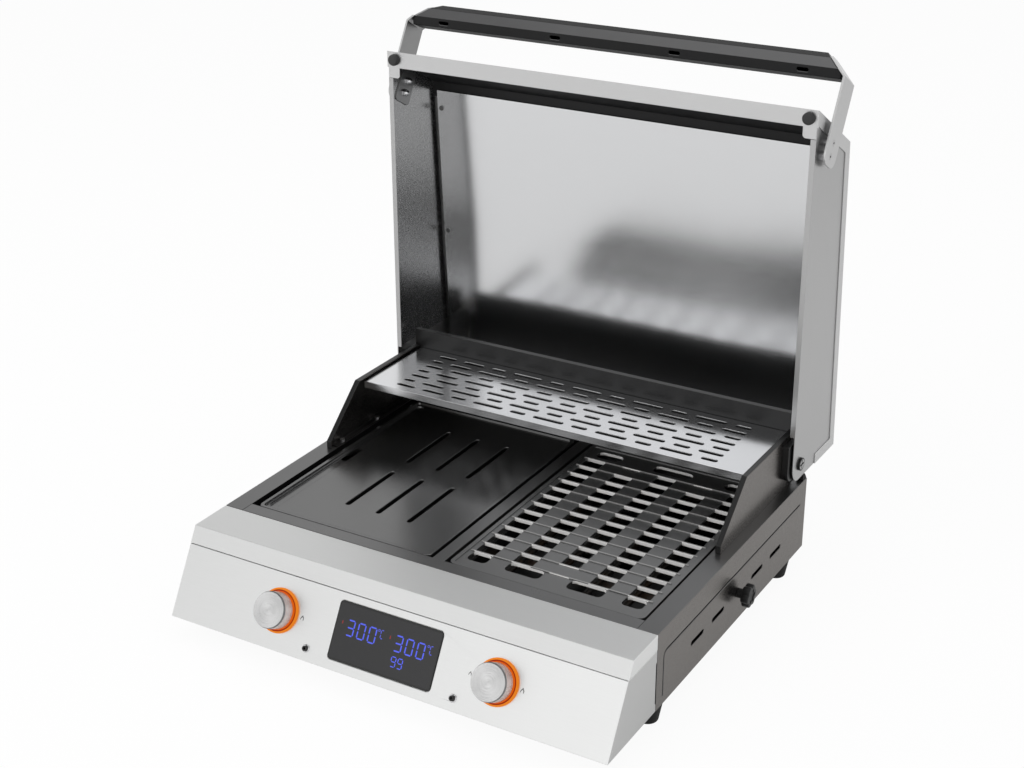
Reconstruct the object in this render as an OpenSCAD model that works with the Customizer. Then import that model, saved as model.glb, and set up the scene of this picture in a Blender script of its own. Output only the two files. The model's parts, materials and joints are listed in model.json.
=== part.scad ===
// Two-zone electric table grill with a hinged lid, shown with the lid standing open.
// Millimetres. X to the right, Y to the back, Z up. Inside the modules y = 0 is the joint
// between the control housing and the body; the finished part is centred on its own box.

/* [Body] */
// Width of the body and of the lid
body_w = 560; // [500:1:620]
// Depth of the body behind the control housing
body_d = 406; // [390:1:440]
// Height of the body walls
body_h = 93; // [90:1:110]
// Steel sheet of the body
sheet = 1.5; // [1.2:0.1:2]
// Width of each side rim
rim_side = 24; // [24:1:30]
// Depth of the front rim
rim_front = 18; // [15:1:24]
// Depth of the rear rim
rim_rear = 37; // [36:1:42]
// Clearance between neighbouring parts
gap = 0.2; // [0.15:0.05:0.3]
// Height of the rubber feet
foot_h = 27; // [22:1:35]
// Radius of a foot at the table
foot_r = 12; // [10:0.5:14]
// Radius of a foot under the body
foot_top_r = 17; // [15:0.5:18]

/* [Control housing] */
// Depth of the flat top of the housing
top_d = 55; // [48:1:65]
// Depth of the housing at its foot
bottom_d = 108; // [100:1:125]
// Length of the cap's lip down the sloped front
cap_lip = 21; // [16:1:26]
// Width of the display window
display_w = 132; // [100:1:150]
// Height of the display window
display_h = 65; // [50:1:66]
// Distance of the knobs from the middle
knob_x = 140; // [125:1:170]
// Distance of knobs and display down the slope
knob_s = 62.7; // [58:0.1:66]
// Radius of a knob
knob_r = 20; // [17:0.5:22]
// Height of a knob's face above the panel
knob_h = 22; // [18:0.5:26]
// Radius of a light ring
ring_r = 25.5; // [23.5:0.5:28]
// Distance of the probe sockets from the middle
socket_x = 94.6; // [90:0.1:105]
// Distance of the probe sockets down the slope
socket_s = 93; // [88:0.5:95]

/* [Plates] */
// Height of the rims above the plates
plate_drop = 3; // [2:0.5:5]
// Full depth of a plate at its edge
plate_t = 12; // [11:0.5:14]
// Room around a plate
plate_gap = 4.5; // [3:0.5:6]
// Width of the divider between the plates
divider_w = 15.6; // [14:0.2:20]
// Distance between the grate's ridges
ridge_pitch = 22.3; // [20:0.1:26]
// Length of an opening in the grate
hole_l = 24.5; // [20:0.5:28]
// Length of a griddle slot
griddle_slot_l = 98; // [80:1:110]
// Distance between the griddle slots
griddle_pitch = 43; // [36:1:48]

/* [Guard and shelf] */
// Distance of the guard plates from the body's sides
guard_in = 13; // [12:0.5:14]
// Distance from the body's front edge to the guard
guard_y = 182; // [150:1:210]
// Height of the guard plates
guard_h = 68; // [60:1:75]
// Height of the guard's rear wall
guard_rear_h = 88.7; // [82:0.1:95]
// Depth of the warming shelf
shelf_d = 128; // [110:1:140]
// Height of the shelf above the rim
shelf_h = 64.2; // [56:0.1:66]
// Distance between rows of slots in the shelf
shelf_row = 16.4; // [15:0.1:18]

/* [Lid] */
// Length of the lid from back wall to front edge
lid_len = 453.5; // [445:0.5:458]
// Height of the lid at its front
lid_front_h = 107.3; // [98:0.1:118]
// Height of the lid at its back
lid_rear_h = 132.4; // [126:0.1:145]
// How far the front wall leans back
lid_lean = 61.2; // [50:0.1:70]
// Steel sheet of the lid
lid_sheet = 1.5; // [1.2:0.1:1.8]
// Width of the shell's flange over the side plates
lid_flange = 13; // [10:0.5:16]
// Width of the front rim of the lid
lid_rim = 20; // [18:0.5:24]
// Height of the hinge axis above the lid's rim
hinge_up = 22; // [21:0.5:24]
// Distance of the hinge axis from the lid's back wall
hinge_back = 20; // [18:0.5:21]
// Distance of the hinge axis from the body's rear
hinge_in = 24; // [23:0.5:26]
// Radius of a hinge pin
pin_r = 4; // [3:0.5:5]
// Height of a rubber bumper
bumper_h = 6.3; // [5:0.1:8]

/* [Handle] */
// Width of a handle arm
arm_w = 38; // [30:1:42]
// Thickness of a handle arm
arm_t = 2.5; // [2:0.5:4]
// Length of an arm from its lower screw to its bend
arm_len = 87; // [75:1:95]
// Length of a spacer between arm and lid
spacer_l = 5.5; // [3.5:0.5:8]
// Height of the handle bar's profile
bar_h = 32; // [26:1:34]
// Width of the handle bar's profile
bar_w = 36; // [30:1:40]

/* [Drip tray and clamp knobs] */
// Width of the drip tray
tray_w = 380; // [300:1:420]
// Height of the drip tray
tray_h = 24; // [18:1:28]
// Radius of a star knob
star_r = 13.5; // [12:0.5:16]
// How far a star knob stands out
star_out = 17; // [14:0.5:20]

/* [Hidden] */
$fn = 64;
steel = "#d3d5d8";
black = "#39393a";
dark = "#1d1d1f";
rubber = "#161616";
bright = "#e4e6e8";

half_w = body_w / 2;
wall_in = half_w - sheet;
z_base = foot_h;
z_pan = z_base + sheet;
z_rim = z_base + body_h;
open_x = half_w - rim_side;
open_y0 = rim_front;
open_y1 = body_d - rim_rear;

// Slope of the control panel from the vertical, and the seam under the cap
slope = atan((bottom_d - top_d) / body_h);
seam = 0.5;
seam_z = z_rim - cap_lip * cos(slope);
skin_y = sheet / cos(slope);
function panel_at(z) = -top_d - (z_rim - z) * tan(slope);

// Plates and fireboxes
box_sheet = 1.2;
ledge_w = 12;
ledge_clear = 2.5;
z_top = z_rim - plate_drop;
z_seat = z_top - plate_t;
z_ledge = z_seat - box_sheet;
plate_w = open_x - divider_w / 2 - 2 * plate_gap;
plate_d = open_y1 - open_y0 - 2 * plate_gap;
plate_cx = (open_x + divider_w / 2) / 2;
plate_cy = (open_y0 + open_y1) / 2;
plate_r = 8;
lip_w = 5;
skirt_w = 8;
box_depth = 38;
box_w = open_x - divider_w / 2 - 2 * (ledge_w + ledge_clear);
box_d = open_y1 - open_y0 - 2 * (ledge_w + ledge_clear);
box_y0 = open_y0 + ledge_w + ledge_clear;
box_y1 = open_y1 - ledge_w - ledge_clear;
z_floor = z_seat - box_depth;
element_r = 4;
element_drop = 13;
element_z = z_seat - element_drop;
element_bend = box_w / 9;
sensor_r = 3;
sensor_z = z_ledge - sheet - sensor_r - 0.3;
element_end_y = open_y0 - 5;
support_in = 75;
support_w = 16;
support_leg = 6;

// Screws
screw_r = 2;
screw_clear = 0.2;
foot_screw_r = 2.5;

// Feet
foot_x = half_w - 19;
foot_y = [20, body_d - 36.5];
foot_web = 12;

// Guard and shelf
guard_x = half_w - guard_in;
guard_fold = 6.5;
guard_foot = 10;
guard_back_y = body_d - 20;
guard_nose = 10;
guard_slope_d = 65;
guard_outline = [[guard_y, z_rim], [guard_back_y, z_rim], [guard_back_y, z_rim + guard_h],
  [guard_y + guard_slope_d, z_rim + guard_h], [guard_y, z_rim + guard_nose]];
guard_screw_y = [guard_y + 25, (guard_y + guard_back_y) / 2, guard_back_y - 25];
guard_screw_x = guard_x - sheet - 4.5;
shelf_z = z_rim + shelf_h;
shelf_x = guard_x - guard_fold - 0.5;
shelf_y1 = guard_back_y - 0.6;
shelf_y0 = shelf_y1 - shelf_d;
shelf_lip = 9;
rail_t = 1.2;
rail_w = 14;
rail_h = 12;
rail_ends = [12, 8];

// Lid, standing open: n is the distance behind the rim plane, u the height over its low edge
lid_half = half_w;
side_out = lid_half - lid_sheet;
side_in = side_out - lid_sheet;
rest_clear = 0.2;
pivot_y = body_d - hinge_in;
pivot_z = z_rim + bumper_h + rest_clear + hinge_up;
lid_y = pivot_y - hinge_up;
lid_z = pivot_z - hinge_back;
lid_top = lid_z + lid_len;
lid_gap = guard_rear_h - hinge_up + 3;
lid_profile = [[0, 0], [lid_rear_h, 0], [lid_front_h, lid_len - lid_lean], [0, lid_len]];
lobe_r = min(hinge_back, hinge_up);
hinge_free = 62;
side_rim = 8;
gusset_w = 16;
gusset_h = 13;
gusset_r = 4;
lining_t = 0.8;
lining_in = side_in - gap - lining_t;
liner_gap = 12;
liner_t = 1;
liner_half = side_in - 7;
liner_front = 13;
bumper_r = 7;
bumper_x = lid_half - 11;
bumper_z = lid_top - 10;
washer_t = 1.5;
stop_w = 8.4;
stop_d = 11;
stop_toe = 5;
bracket_front = 30;
bracket_high = 32;
bracket_corner = 14;
bracket_out = side_in - washer_t - 2 * gap;

// Handle: its arms stand square to the lid's front wall
front_angle = atan(lid_lean / lid_front_h);
arm_in = side_out + spacer_l;
arm_out = arm_in + arm_t;
arm_screw_gap = 15.5;
arm_screw_n = 27.3;
arm_screw_u = lid_len - 57.6;
arm_foot = 11.5;
arm_corner = 13;
tab_l = 24;
bend_in = arm_t * tan(22.5);
bar_low = 3;
bar_half = arm_in - bend_in - bar_low - rest_clear;
bar_wall = 2;
bar_slot_x = bar_half * 0.28;

// Drip tray
tray_t = 1.2;
tray_clear = 0.2;
tray_z = z_pan + 5.5;
tray_y0 = box_y0 + 18;
tray_face_h = 5;
tray_grip_w = 120;
tray_grip_d = 18;

// Clamp knobs and side panel pattern
star_y = body_d / 2 + 4.6;
star_z = z_base + 35.6;
stud_r = 3;
run = 0.05;
vent_l = 32.6;
vent_w = 5.7;
vent_pitch = 54;
groove_w = 2.5;
groove_t = 0.8;
groove_top = z_base + 63.8;
groove_low = z_base + 9.5;
groove_y0 = 15.7;
groove_y1 = body_d - 17;
groove_r = 7;

// Mains inlet
inlet_x = 215;
inlet_z = z_base + 66;
inlet_w = 28;
inlet_h = 20;
inlet_d = 18;

// The part's own box in Y: knob faces in front, the open lid behind
knob_edge = 0.8;
front_y = -top_d - (knob_s + knob_r - knob_edge) * sin(slope) - knob_h * cos(slope);
back_y = lid_y + lid_rear_h;
mid_y = (front_y + back_y) / 2;

// Shared helpers

module framed() translate([0, -mid_y, 0]) children();

module both() {
  children();
  mirror([1, 0, 0]) children();
}

// A box from its low corner to its high corner
module span(low, high) translate(low) cube(high - low);

// A drawing in Y and Z, drawn out along X
module along_x(x0, x1)
  translate([x0, 0, 0]) rotate([90, 0, 90]) linear_extrude(x1 - x0) children();

// A drawing in X and Y, drawn out along Z
module along_z(z0, z1) translate([0, 0, z0]) linear_extrude(z1 - z0) children();

// A round bar along X or Y
module bar_x(x0, x1, r) translate([x0, 0, 0]) rotate([0, 90, 0]) cylinder(h = x1 - x0, r = r);
module bar_y(y0, y1, r) translate([0, y0, 0]) rotate([-90, 0, 0]) cylinder(h = y1 - y0, r = r);

module rounded(w, h, r) {
  square([w - 2 * r, h], center = true);
  square([w, h - 2 * r], center = true);
  for (x = [-1, 1], y = [-1, 1]) translate([x * (w / 2 - r), y * (h / 2 - r)]) circle(r);
}

// An oval slot of full length l
module oval(l, w) {
  square([l - w, w], center = true);
  for (x = [-1, 1]) translate([x * (l - w) / 2, 0]) circle(w / 2);
}

// A place on the sloped panel: local Z leaves the panel, local Y climbs it
module on_panel(x, s)
  translate([x, -top_d - s * sin(slope), z_rim - s * cos(slope)])
    rotate([90 - slope, 0, 0]) children();

// A convex outline with each edge moved in by its own distance; edge i starts at point i
function edge_normal(p, q) = let (d = q - p) [-d[1], d[0]] / norm(d);
function meet(p, a, n, b, m) = let (k = a[0] * b[1] - a[1] * b[0])
  p + [(n * b[1] - m * a[1]) / k, (m * a[0] - n * b[0]) / k];
function inset(pts, by) = let (c = len(pts)) [for (i = [0:c - 1])
  let (j = (i + c - 1) % c, a = edge_normal(pts[j], pts[i]), b = edge_normal(pts[i], pts[(i + 1) % c]))
  meet(pts[i], a, by[j], b, by[i])];

// Points of the lid's section as places in Y and Z
function lid_points(pts) = [for (p = pts) [lid_y + p[0], lid_z + p[1]]];

// Body

pan_x = wall_in - gap;
pan_y = body_d - sheet - gap;

module bottom_pan() color(black) framed() difference() {
  union() {
    span([-pan_x, panel_at(z_pan) + skin_y + gap, z_base], [pan_x, pan_y, z_pan]);
    both() span([pan_x - sheet, 0, z_base], [pan_x, pan_y, z_pan + 12]);
  }
  both() for (y = foot_y) translate([foot_x, y, 0])
    cylinder(h = z_pan + 1, r = foot_screw_r + screw_clear);
  panel_screw_places() cylinder(h = z_pan + 1, r = screw_r + screw_clear);
  for (i = [-4:4]) translate([i * 18, -45, 0]) along_z(z_base - 1, z_pan + 1) rotate(90) oval(36, 5);
}

module panel_screw_places()
  both() for (x = [60, half_w - 60]) translate([x, -bottom_d + 20, 0]) children();

module guard_screw_places() for (y = guard_screw_y) translate([guard_screw_x, y, 0]) children();

module groove_outline() {
  translate([groove_y0 - groove_w / 2, groove_low])
    square([groove_w, groove_top - groove_r - groove_low]);
  translate([groove_y0 + groove_r, groove_top - groove_w / 2])
    square([groove_y1 - groove_y0 - groove_r, groove_w]);
  translate([groove_y0 + groove_r, groove_top - groove_r]) intersection() {
    difference() {
      circle(groove_r + groove_w / 2);
      circle(groove_r - groove_w / 2);
    }
    translate([-2 * groove_r, 0]) square(2 * groove_r);
  }
}

module side_panel() difference() {
  union() {
    span([wall_in, 0, z_base], [half_w, body_d, z_rim]);
    span([open_x, 0, z_rim - sheet], [half_w, body_d, z_rim]);
    span([open_x, open_y0, z_ledge - sheet], [open_x + sheet, open_y1, z_rim]);
    span([open_x - ledge_w, open_y0 + gap, z_ledge - sheet],
      [open_x + sheet, open_y1 - gap, z_ledge]);
  }
  for (i = [-2, -1, 1, 2])
    along_x(wall_in - 1, half_w + 1) translate([star_y + i * vent_pitch, star_z]) oval(vent_l, vent_w);
  translate([0, star_y, star_z]) bar_x(wall_in - 1, half_w + 1, stud_r + 0.3);
  along_x(half_w - groove_t, half_w + 1) groove_outline();
  guard_screw_places() along_z(z_rim - sheet - 1, z_rim + 1) circle(screw_r + screw_clear);
}

module side_panel_right() color(black) framed() side_panel();

module side_panel_left() color(black) framed() mirror([1, 0, 0]) side_panel();

module front_rim() color(black) framed() {
  x = open_x - gap;
  span([-x, 0, z_rim - sheet], [x, open_y0, z_rim]);
  span([-x, 0, z_ledge - sheet], [x, sheet, z_rim]);
  span([-x, open_y0 - sheet, z_ledge - sheet], [x, open_y0, z_rim]);
  span([-x + ledge_w, open_y0 - sheet, z_ledge - sheet],
    [x - ledge_w, open_y0 + ledge_w, z_ledge]);
}

module rear_rim() color(black) framed() {
  x = open_x - gap;
  span([-x, open_y1, z_rim - sheet], [x, body_d, z_rim]);
  span([-x, open_y1, z_ledge - sheet], [x, open_y1 + sheet, z_rim]);
  span([-x + ledge_w, open_y1 - ledge_w, z_ledge - sheet],
    [x - ledge_w, open_y1 + sheet, z_ledge]);
}

module rear_panel() color(black) framed() difference() {
  span([-wall_in + gap, body_d - sheet, z_base], [wall_in - gap, body_d, z_rim - sheet - gap]);
  span([-tray_w / 2 - 1, body_d - sheet - 1, tray_z - 0.8],
    [tray_w / 2 + 1, body_d + 1, tray_z + tray_h + 1]);
  span([inlet_x - inlet_w / 2 - gap, body_d - sheet - 1, inlet_z - inlet_h / 2 - gap],
    [inlet_x + inlet_w / 2 + gap, body_d + 1, inlet_z + inlet_h / 2 + gap]);
  for (i = [-5:5]) translate([i * 26, body_d, z_base + 66]) rotate([90, 0, 0])
    translate([0, 0, -1]) linear_extrude(sheet + 2) rotate(90) oval(20, 5);
}

module bulkhead() color(steel) framed() difference() {
  x = pan_x - sheet - gap;
  span([-x, sheet + gap, z_pan], [x, 2 * sheet + gap, z_ledge - sheet - gap]);
  both() translate([plate_cx, 0, z_base + 40]) bar_y(0, 10, 8);
}

module centre_divider() color(black) framed() {
  x = divider_w / 2;
  span([-x, open_y0 + gap, z_top - sheet], [x, open_y1 - gap, z_top]);
  for (s = [-1, 1]) translate([s * (x - sheet / 2), 0, 0])
    span([-sheet / 2, open_y0 + gap, z_ledge], [sheet / 2, open_y1 - gap, z_top]);
  span([-x - ledge_w, open_y0 + ledge_w + gap, z_ledge - sheet],
    [x + ledge_w, open_y1 - ledge_w - gap, z_ledge]);
}

module firebox() difference() {
  union() {
    span([divider_w / 2 + gap, open_y0 + gap, z_ledge], [open_x - gap, open_y1 - gap, z_seat]);
    translate([plate_cx, plate_cy, 0])
      span([-box_w / 2, -box_d / 2, z_floor], [box_w / 2, box_d / 2, z_seat]);
  }
  translate([plate_cx, plate_cy, 0]) {
    span([-box_w / 2 + box_sheet, -box_d / 2 + box_sheet, z_floor + box_sheet],
      [box_w / 2 - box_sheet, box_d / 2 - box_sheet, z_seat + 1]);
    along_z(z_floor - 1, z_floor + box_sheet + 1) oval(box_w / 2, 24);
  }
  for (s = [-3, 3]) translate([plate_cx + s * element_bend, 0, element_z])
    bar_y(box_y0 - 1, box_y0 + 5, element_r + 0.3);
  translate([plate_cx, 0, sensor_z]) bar_y(box_y0 - 1, box_y0 + 5, sensor_r + 0.1);
}

module fireboxes() color(dark) framed() both() firebox();

// Four straight runs joined by three half-turns, each run let 1 mm into its turns
module heating_element() translate([plate_cx, 0, element_z]) {
  turn = element_bend + element_r + 12;
  far_y = box_y1 - turn;
  near_y = box_y0 + turn;
  run_r = element_r - 0.05;
  for (s = [-3, 3]) translate([s * element_bend, 0, 0]) bar_y(element_end_y, far_y + 1, run_r);
  for (s = [-1, 1]) translate([s * element_bend, 0, 0]) bar_y(near_y - 1, far_y + 1, run_r);
  for (s = [-2, 2]) translate([s * element_bend, far_y, 0]) half_turn();
  translate([0, near_y, 0]) rotate(180) half_turn();
}

module half_turn() rotate_extrude(angle = 180) translate([element_bend, 0]) circle(element_r);

module heating_element_right() color("#6d6a68") framed() heating_element();

module heating_element_left() color("#6d6a68") framed() mirror([1, 0, 0]) heating_element();

module element_supports() color("#9a9c9e") framed() both()
  for (y = [box_y0 + support_in, box_y1 - support_in]) {
  x = box_w / 2 - box_sheet - gap;
  w = support_w / 2;
  leg = box_sheet / 2;
  top = element_z - element_r - 0.1;
  translate([plate_cx, y, 0]) {
    span([-x, -w, top - box_sheet], [x, w, top]);
    for (s = [-1, 1]) translate([s * (x - support_leg), 0, 0])
      span([-leg, -w, z_floor + box_sheet], [leg, w, top]);
  }
}

module element_terminals() color("#efe9dc") framed() both() for (s = [-3, 3])
  translate([plate_cx + s * element_bend, 0, element_z]) difference() {
    bar_y(box_y0 - 11, box_y0 - gap, element_r + 3);
    bar_y(box_y0 - 12, box_y0 + 1, element_r + 0.1);
  }

module temperature_sensors() color(bright) framed() both()
  translate([plate_cx, 0, sensor_z]) bar_y(element_end_y, plate_cy, sensor_r);

module plate_outline(by = 0)
  rounded(plate_w - 2 * by, plate_d - 2 * by, plate_r - min(by, plate_r - 2));

// The common blank of both plates: a raised lip round a lower floor, with a skirt below
module plate_blank(floor_z, floor_t) difference() {
  along_z(z_seat, z_top) plate_outline();
  along_z(floor_z, z_top + 1) plate_outline(lip_w);
  along_z(z_seat - 1, floor_z - floor_t) plate_outline(skirt_w);
}

module griddle_plate() color("#4a4a4a") framed() translate([-plate_cx, plate_cy, 0]) {
  floor_z = z_top - 2.5;
  gutter_x = -plate_w / 2 + lip_w + 8;
  slot_x = lip_w * 2;
  row_gap = 30;
  difference() {
    plate_blank(floor_z, 6);
    for (i = [-1:1], s = [-1, 1])
      translate([slot_x + i * griddle_pitch, s * (griddle_slot_l + row_gap) / 2, 0])
        along_z(z_seat - 1, z_top + 1) rotate(90) oval(griddle_slot_l, 6);
    translate([gutter_x, 0, 0]) along_z(floor_z - 2, z_top + 1) rotate(90)
      oval(plate_d - 4 * lip_w, 12);
    translate([gutter_x, 0, 0]) along_z(z_seat - 1, z_top + 1) rotate(90) oval(35, 9);
  }
}

// Low ridges of the grate, counted from the front, with openings from ridge to ridge
ridge_h = 1.2;
ridge_w = 1.8;
grate_t = 3.6;
hole_w = ridge_pitch - ridge_w;
ridge_margin = 32;
grate_rows = floor((plate_d - 2 * ridge_margin) / ridge_pitch);
function ridge_y(i) = (i - grate_rows / 2) * ridge_pitch;

module grill_grate() color("#333334") framed() translate([plate_cx, plate_cy, 0]) {
  floor_z = z_top - ridge_h;
  rows = grate_rows;
  pitch_x = plate_w / 5;
  ridge_x = plate_w / 2 - lip_w - 2;
  front_w = 18.5;
  difference() {
    union() {
      plate_blank(floor_z, grate_t);
      for (i = [0:rows])
        span([-ridge_x, ridge_y(i) - ridge_w / 2, floor_z - 1],
          [ridge_x, ridge_y(i) + ridge_w / 2, z_top]);
    }
    // Rectangular openings; the front and rear middle of the field stays closed
    for (i = [1:rows], c = [-2:2]) if (!(i == 1 && c == 0) && !(i == rows && abs(c) == 1))
      translate([c * pitch_x, ridge_y(i - 0.5), 0]) along_z(z_seat - 1, z_top + 1)
        square([hole_l, hole_w], center = true);
    // Front row with rounded openings, the inner pair longer towards the middle
    translate([0, ridge_y(0) - ridge_w / 2 - front_w / 2, 0]) for (s = [-1, 1])
      along_z(z_seat - 1, z_top + 1) {
        translate([s * 2 * pitch_x, 0]) rounded(hole_l, front_w, 6);
        translate([s * (pitch_x - 9.5), 0]) rounded(hole_l + 19, front_w, 6);
      }
    // Rear row of round-ended openings behind the last ridge
    for (x = [-1, 0, 1]) translate([x * 1.8 * pitch_x, ridge_y(rows) + ridge_w / 2 + 15.5, 0])
      along_z(z_seat - 1, z_top + 1) oval(x == 0 ? 52 : 35, 16);
  }
}

module drip_tray() color("#a9abad") framed() {
  x = tray_w / 2;
  rear = body_d + tray_clear;
  difference() {
    span([-x, tray_y0, tray_z], [x, rear + tray_t, tray_z + tray_h]);
    span([-x + tray_t, tray_y0 + tray_t, tray_z + tray_t], [x - tray_t, rear, tray_z + tray_h + 1]);
  }
  span([-x - tray_face_h, rear, tray_z - tray_face_h / 2],
    [x + tray_face_h, rear + tray_t, tray_z + tray_h + tray_face_h]);
  grip_z = tray_z + tray_h / 2;
  grip_y = rear + tray_grip_d;
  span([-tray_grip_w / 2, rear, grip_z], [tray_grip_w / 2, grip_y, grip_z + tray_t]);
  span([-tray_grip_w / 2, grip_y - tray_t, grip_z - 8], [tray_grip_w / 2, grip_y, grip_z + tray_t]);
}

module tray_rails() color("#8d8f91") framed() both() {
  x = tray_w / 2 + 0.5;
  top = tray_z - tray_clear;
  y = [tray_y0 - 8, body_d - sheet - 2];
  span([x, y[0], z_pan], [x + tray_t, y[1], tray_z + 12]);
  span([x - 11, y[0], top - tray_t], [x + tray_t, y[1], top]);
  span([x, y[0], z_pan], [x + 12, y[1], z_pan + tray_t]);
}

module foot() difference() {
  cylinder(h = foot_h, r1 = foot_r, r2 = foot_top_r);
  translate([0, 0, -1]) cylinder(h = foot_h - foot_web + 1, r = 6);
  translate([0, 0, -1]) cylinder(h = foot_h + 2, r = foot_screw_r + screw_clear);
}

module feet() color(rubber) framed() both() for (y = foot_y) translate([foot_x, y, 0]) foot();

// A screw with its head at z0 pointing up to a nut that starts at z1
module screw_up(z0, z1, r) {
  head = 1.2 * r;
  translate([0, 0, z0 - head]) cylinder(h = head, r = 1.9 * r);
  translate([0, 0, z0 - head / 2]) cylinder(h = z1 - z0 + head / 2 + 2.5 * r, r = r);
  translate([0, 0, z1]) cylinder(h = 1.6 * r, r = 1.85 * r, $fn = 6);
}

module base_screws() color(bright) framed() {
  both() for (y = foot_y) translate([foot_x, y, 0]) screw_up(foot_h - foot_web, z_pan, foot_screw_r);
  panel_screw_places() screw_up(z_base, z_pan + sheet, screw_r);
  both() guard_screw_places() translate([0, 0, 2 * z_rim]) mirror([0, 0, 1])
    screw_up(z_rim - sheet, z_rim + sheet, screw_r);
}

// Control housing

module front_cap() color(steel) framed() difference() {
  along_x(-half_w, half_w)
    polygon([[-seam, z_rim], [-top_d, z_rim], [panel_at(seam_z), seam_z], [-seam, seam_z]]);
  along_x(-wall_in, wall_in)
    polygon([[1, z_rim - sheet], [panel_at(z_rim - sheet) + skin_y, z_rim - sheet],
      [panel_at(seam_z - 1) + skin_y, seam_z - 1], [1, seam_z - 1]]);
}

module control_panel() color(bright) framed() {
  top = seam_z - seam;
  flange_y = panel_at(z_pan) + 24;
  difference() {
    union() {
      difference() {
        along_x(-half_w, half_w)
          polygon([[-seam, top], [panel_at(top), top], [panel_at(z_base), z_base], [-seam, z_base]]);
        along_x(-wall_in, wall_in)
          polygon([[1, top + 1], [panel_at(top + 1) + skin_y, top + 1],
            [panel_at(z_base - 1) + skin_y, z_base - 1], [1, z_base - 1]]);
      }
      // Tongue behind the cap's lip, and the foot on the bottom pan
      on_panel(0, cap_lip) span([-wall_in + 1, -8, -sheet - 1.2], [wall_in - 1, 10, -sheet]);
      along_x(-wall_in + 2 * sheet, wall_in - 2 * sheet)
        polygon([[panel_at(z_pan) + skin_y / 2, z_pan], [flange_y, z_pan],
          [flange_y, z_pan + sheet], [panel_at(z_pan + sheet) + skin_y / 2, z_pan + sheet]]);
    }
    on_panel(0, knob_s) along_z(-sheet - 3, 1)
      rounded(display_w + 2 * gap, display_h + 2 * gap, 4.7);
    both() on_panel(knob_x, knob_s) along_z(-sheet - 1, 1) circle(4.7);
    both() on_panel(socket_x, socket_s) along_z(-sheet - 1, 1) circle(3.2);
    panel_screw_places() along_z(z_pan - 1, z_pan + sheet + 1) circle(screw_r + screw_clear);
    both() span([wall_in - 1, -2.2, z_base + 9.5], [half_w + 1, 0, z_base + 59.5]);
  }
}

module display_window() color(dark) framed()
  on_panel(0, knob_s) along_z(-sheet - 1, 0.4) rounded(display_w, display_h, 4.5);

module_t = 7;
board_t = 1.6;
board_half = 88;
board_front = -top_d - 12;
board_back = -14;
post_h = 8;
post_r = 3;
post_in = 7;
relay_pitch = 50;
relay_w = 22;
relay_d = 17;
relay_h = 14.4;

module display_module() color("#26262a") framed() on_panel(0, knob_s)
  along_z(-sheet - 1 - module_t, -sheet - 1) square([display_w - 6, display_h - 6], center = true);

module display_board() color("#1f5c38") framed() on_panel(0, knob_s) {
  back = -sheet - 1 - module_t;
  post_x = display_w / 2 + 5;
  along_z(back - board_t, back) square([2 * post_x + 10, display_h - 1], center = true);
  for (x = [-1, 1], y = [-1, 1]) translate([x * post_x, y * (display_h / 2 - 5), 0])
    along_z(back - 1, -sheet) circle(post_r);
}

module power_board() color("#1f5c38") framed() {
  z = z_pan + post_h;
  span([-board_half, board_front, z], [board_half, board_back, z + board_t]);
  for (x = [-1, 1], y = [board_front + post_in, board_back - post_in])
    translate([x * (board_half - post_in), y, z_pan]) cylinder(h = post_h, r = post_r);
}

module relays() color("#2a4f8f") framed() for (i = [-1:1])
  translate([i * relay_pitch, (board_front + board_back) / 2, z_pan + post_h + board_t])
    span([-relay_w / 2, -relay_d / 2, 0], [relay_w / 2, relay_d / 2, relay_h]);

module knob() on_panel(knob_x, knob_s) difference() {
  union() {
    translate([0, 0, 0.8]) cylinder(h = knob_h - knob_edge - 0.8, r = knob_r);
    translate([0, 0, knob_h - knob_edge]) cylinder(h = knob_edge, r1 = knob_r, r2 = knob_r - knob_edge);
  }
  cylinder(h = 8, r = knob_r - 5);
  cylinder(h = knob_h - 4, r = stud_r + run);
}

module knob_right() color(steel) framed() knob();

module knob_left() color(steel) framed() mirror([1, 0, 0]) knob();

module shaft() on_panel(knob_x, knob_s) translate([0, 0, -6]) cylinder(h = knob_h + 1.8, r = stud_r);

module shaft_right() color(bright) framed() shaft();

module shaft_left() color(bright) framed() mirror([1, 0, 0]) shaft();

module encoders() color("#3b6b4a") framed() both() on_panel(knob_x, knob_s) difference() {
  union() {
    translate([0, 0, -sheet - 4]) cube([14, 14, 8], center = true);
    translate([0, 0, -sheet - 1]) cylinder(h = sheet + 7, r = 4.4);
    cylinder(h = 2.4, r = 7, $fn = 6);
  }
  translate([0, 0, -sheet - 6.5]) cylinder(h = 30, r = stud_r + run);
}

module light_rings() color("#ff7a1a") framed() both() on_panel(knob_x, knob_s) rotate_extrude()
  polygon([[knob_r + 0.5, 0], [ring_r, 0], [ring_r, 1.8], [ring_r - 1, 3], [knob_r + 0.5, 3]]);

module probe_sockets() color("#55585b") framed() both() on_panel(socket_x, socket_s) {
  difference() {
    union() {
      translate([0, 0, -sheet - 8]) cylinder(h = 8, r = 5);
      translate([0, 0, -sheet - 1]) cylinder(h = sheet + 3.8, r = 3);
    }
    translate([0, 0, -sheet - 6]) cylinder(h = 20, r = 1.8);
  }
  difference() {
    cylinder(h = 2.2, r = 4.6);
    translate([0, 0, -1]) cylinder(h = 5, r = 3 + run);
  }
}

// Clamp knobs on the sides

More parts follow.
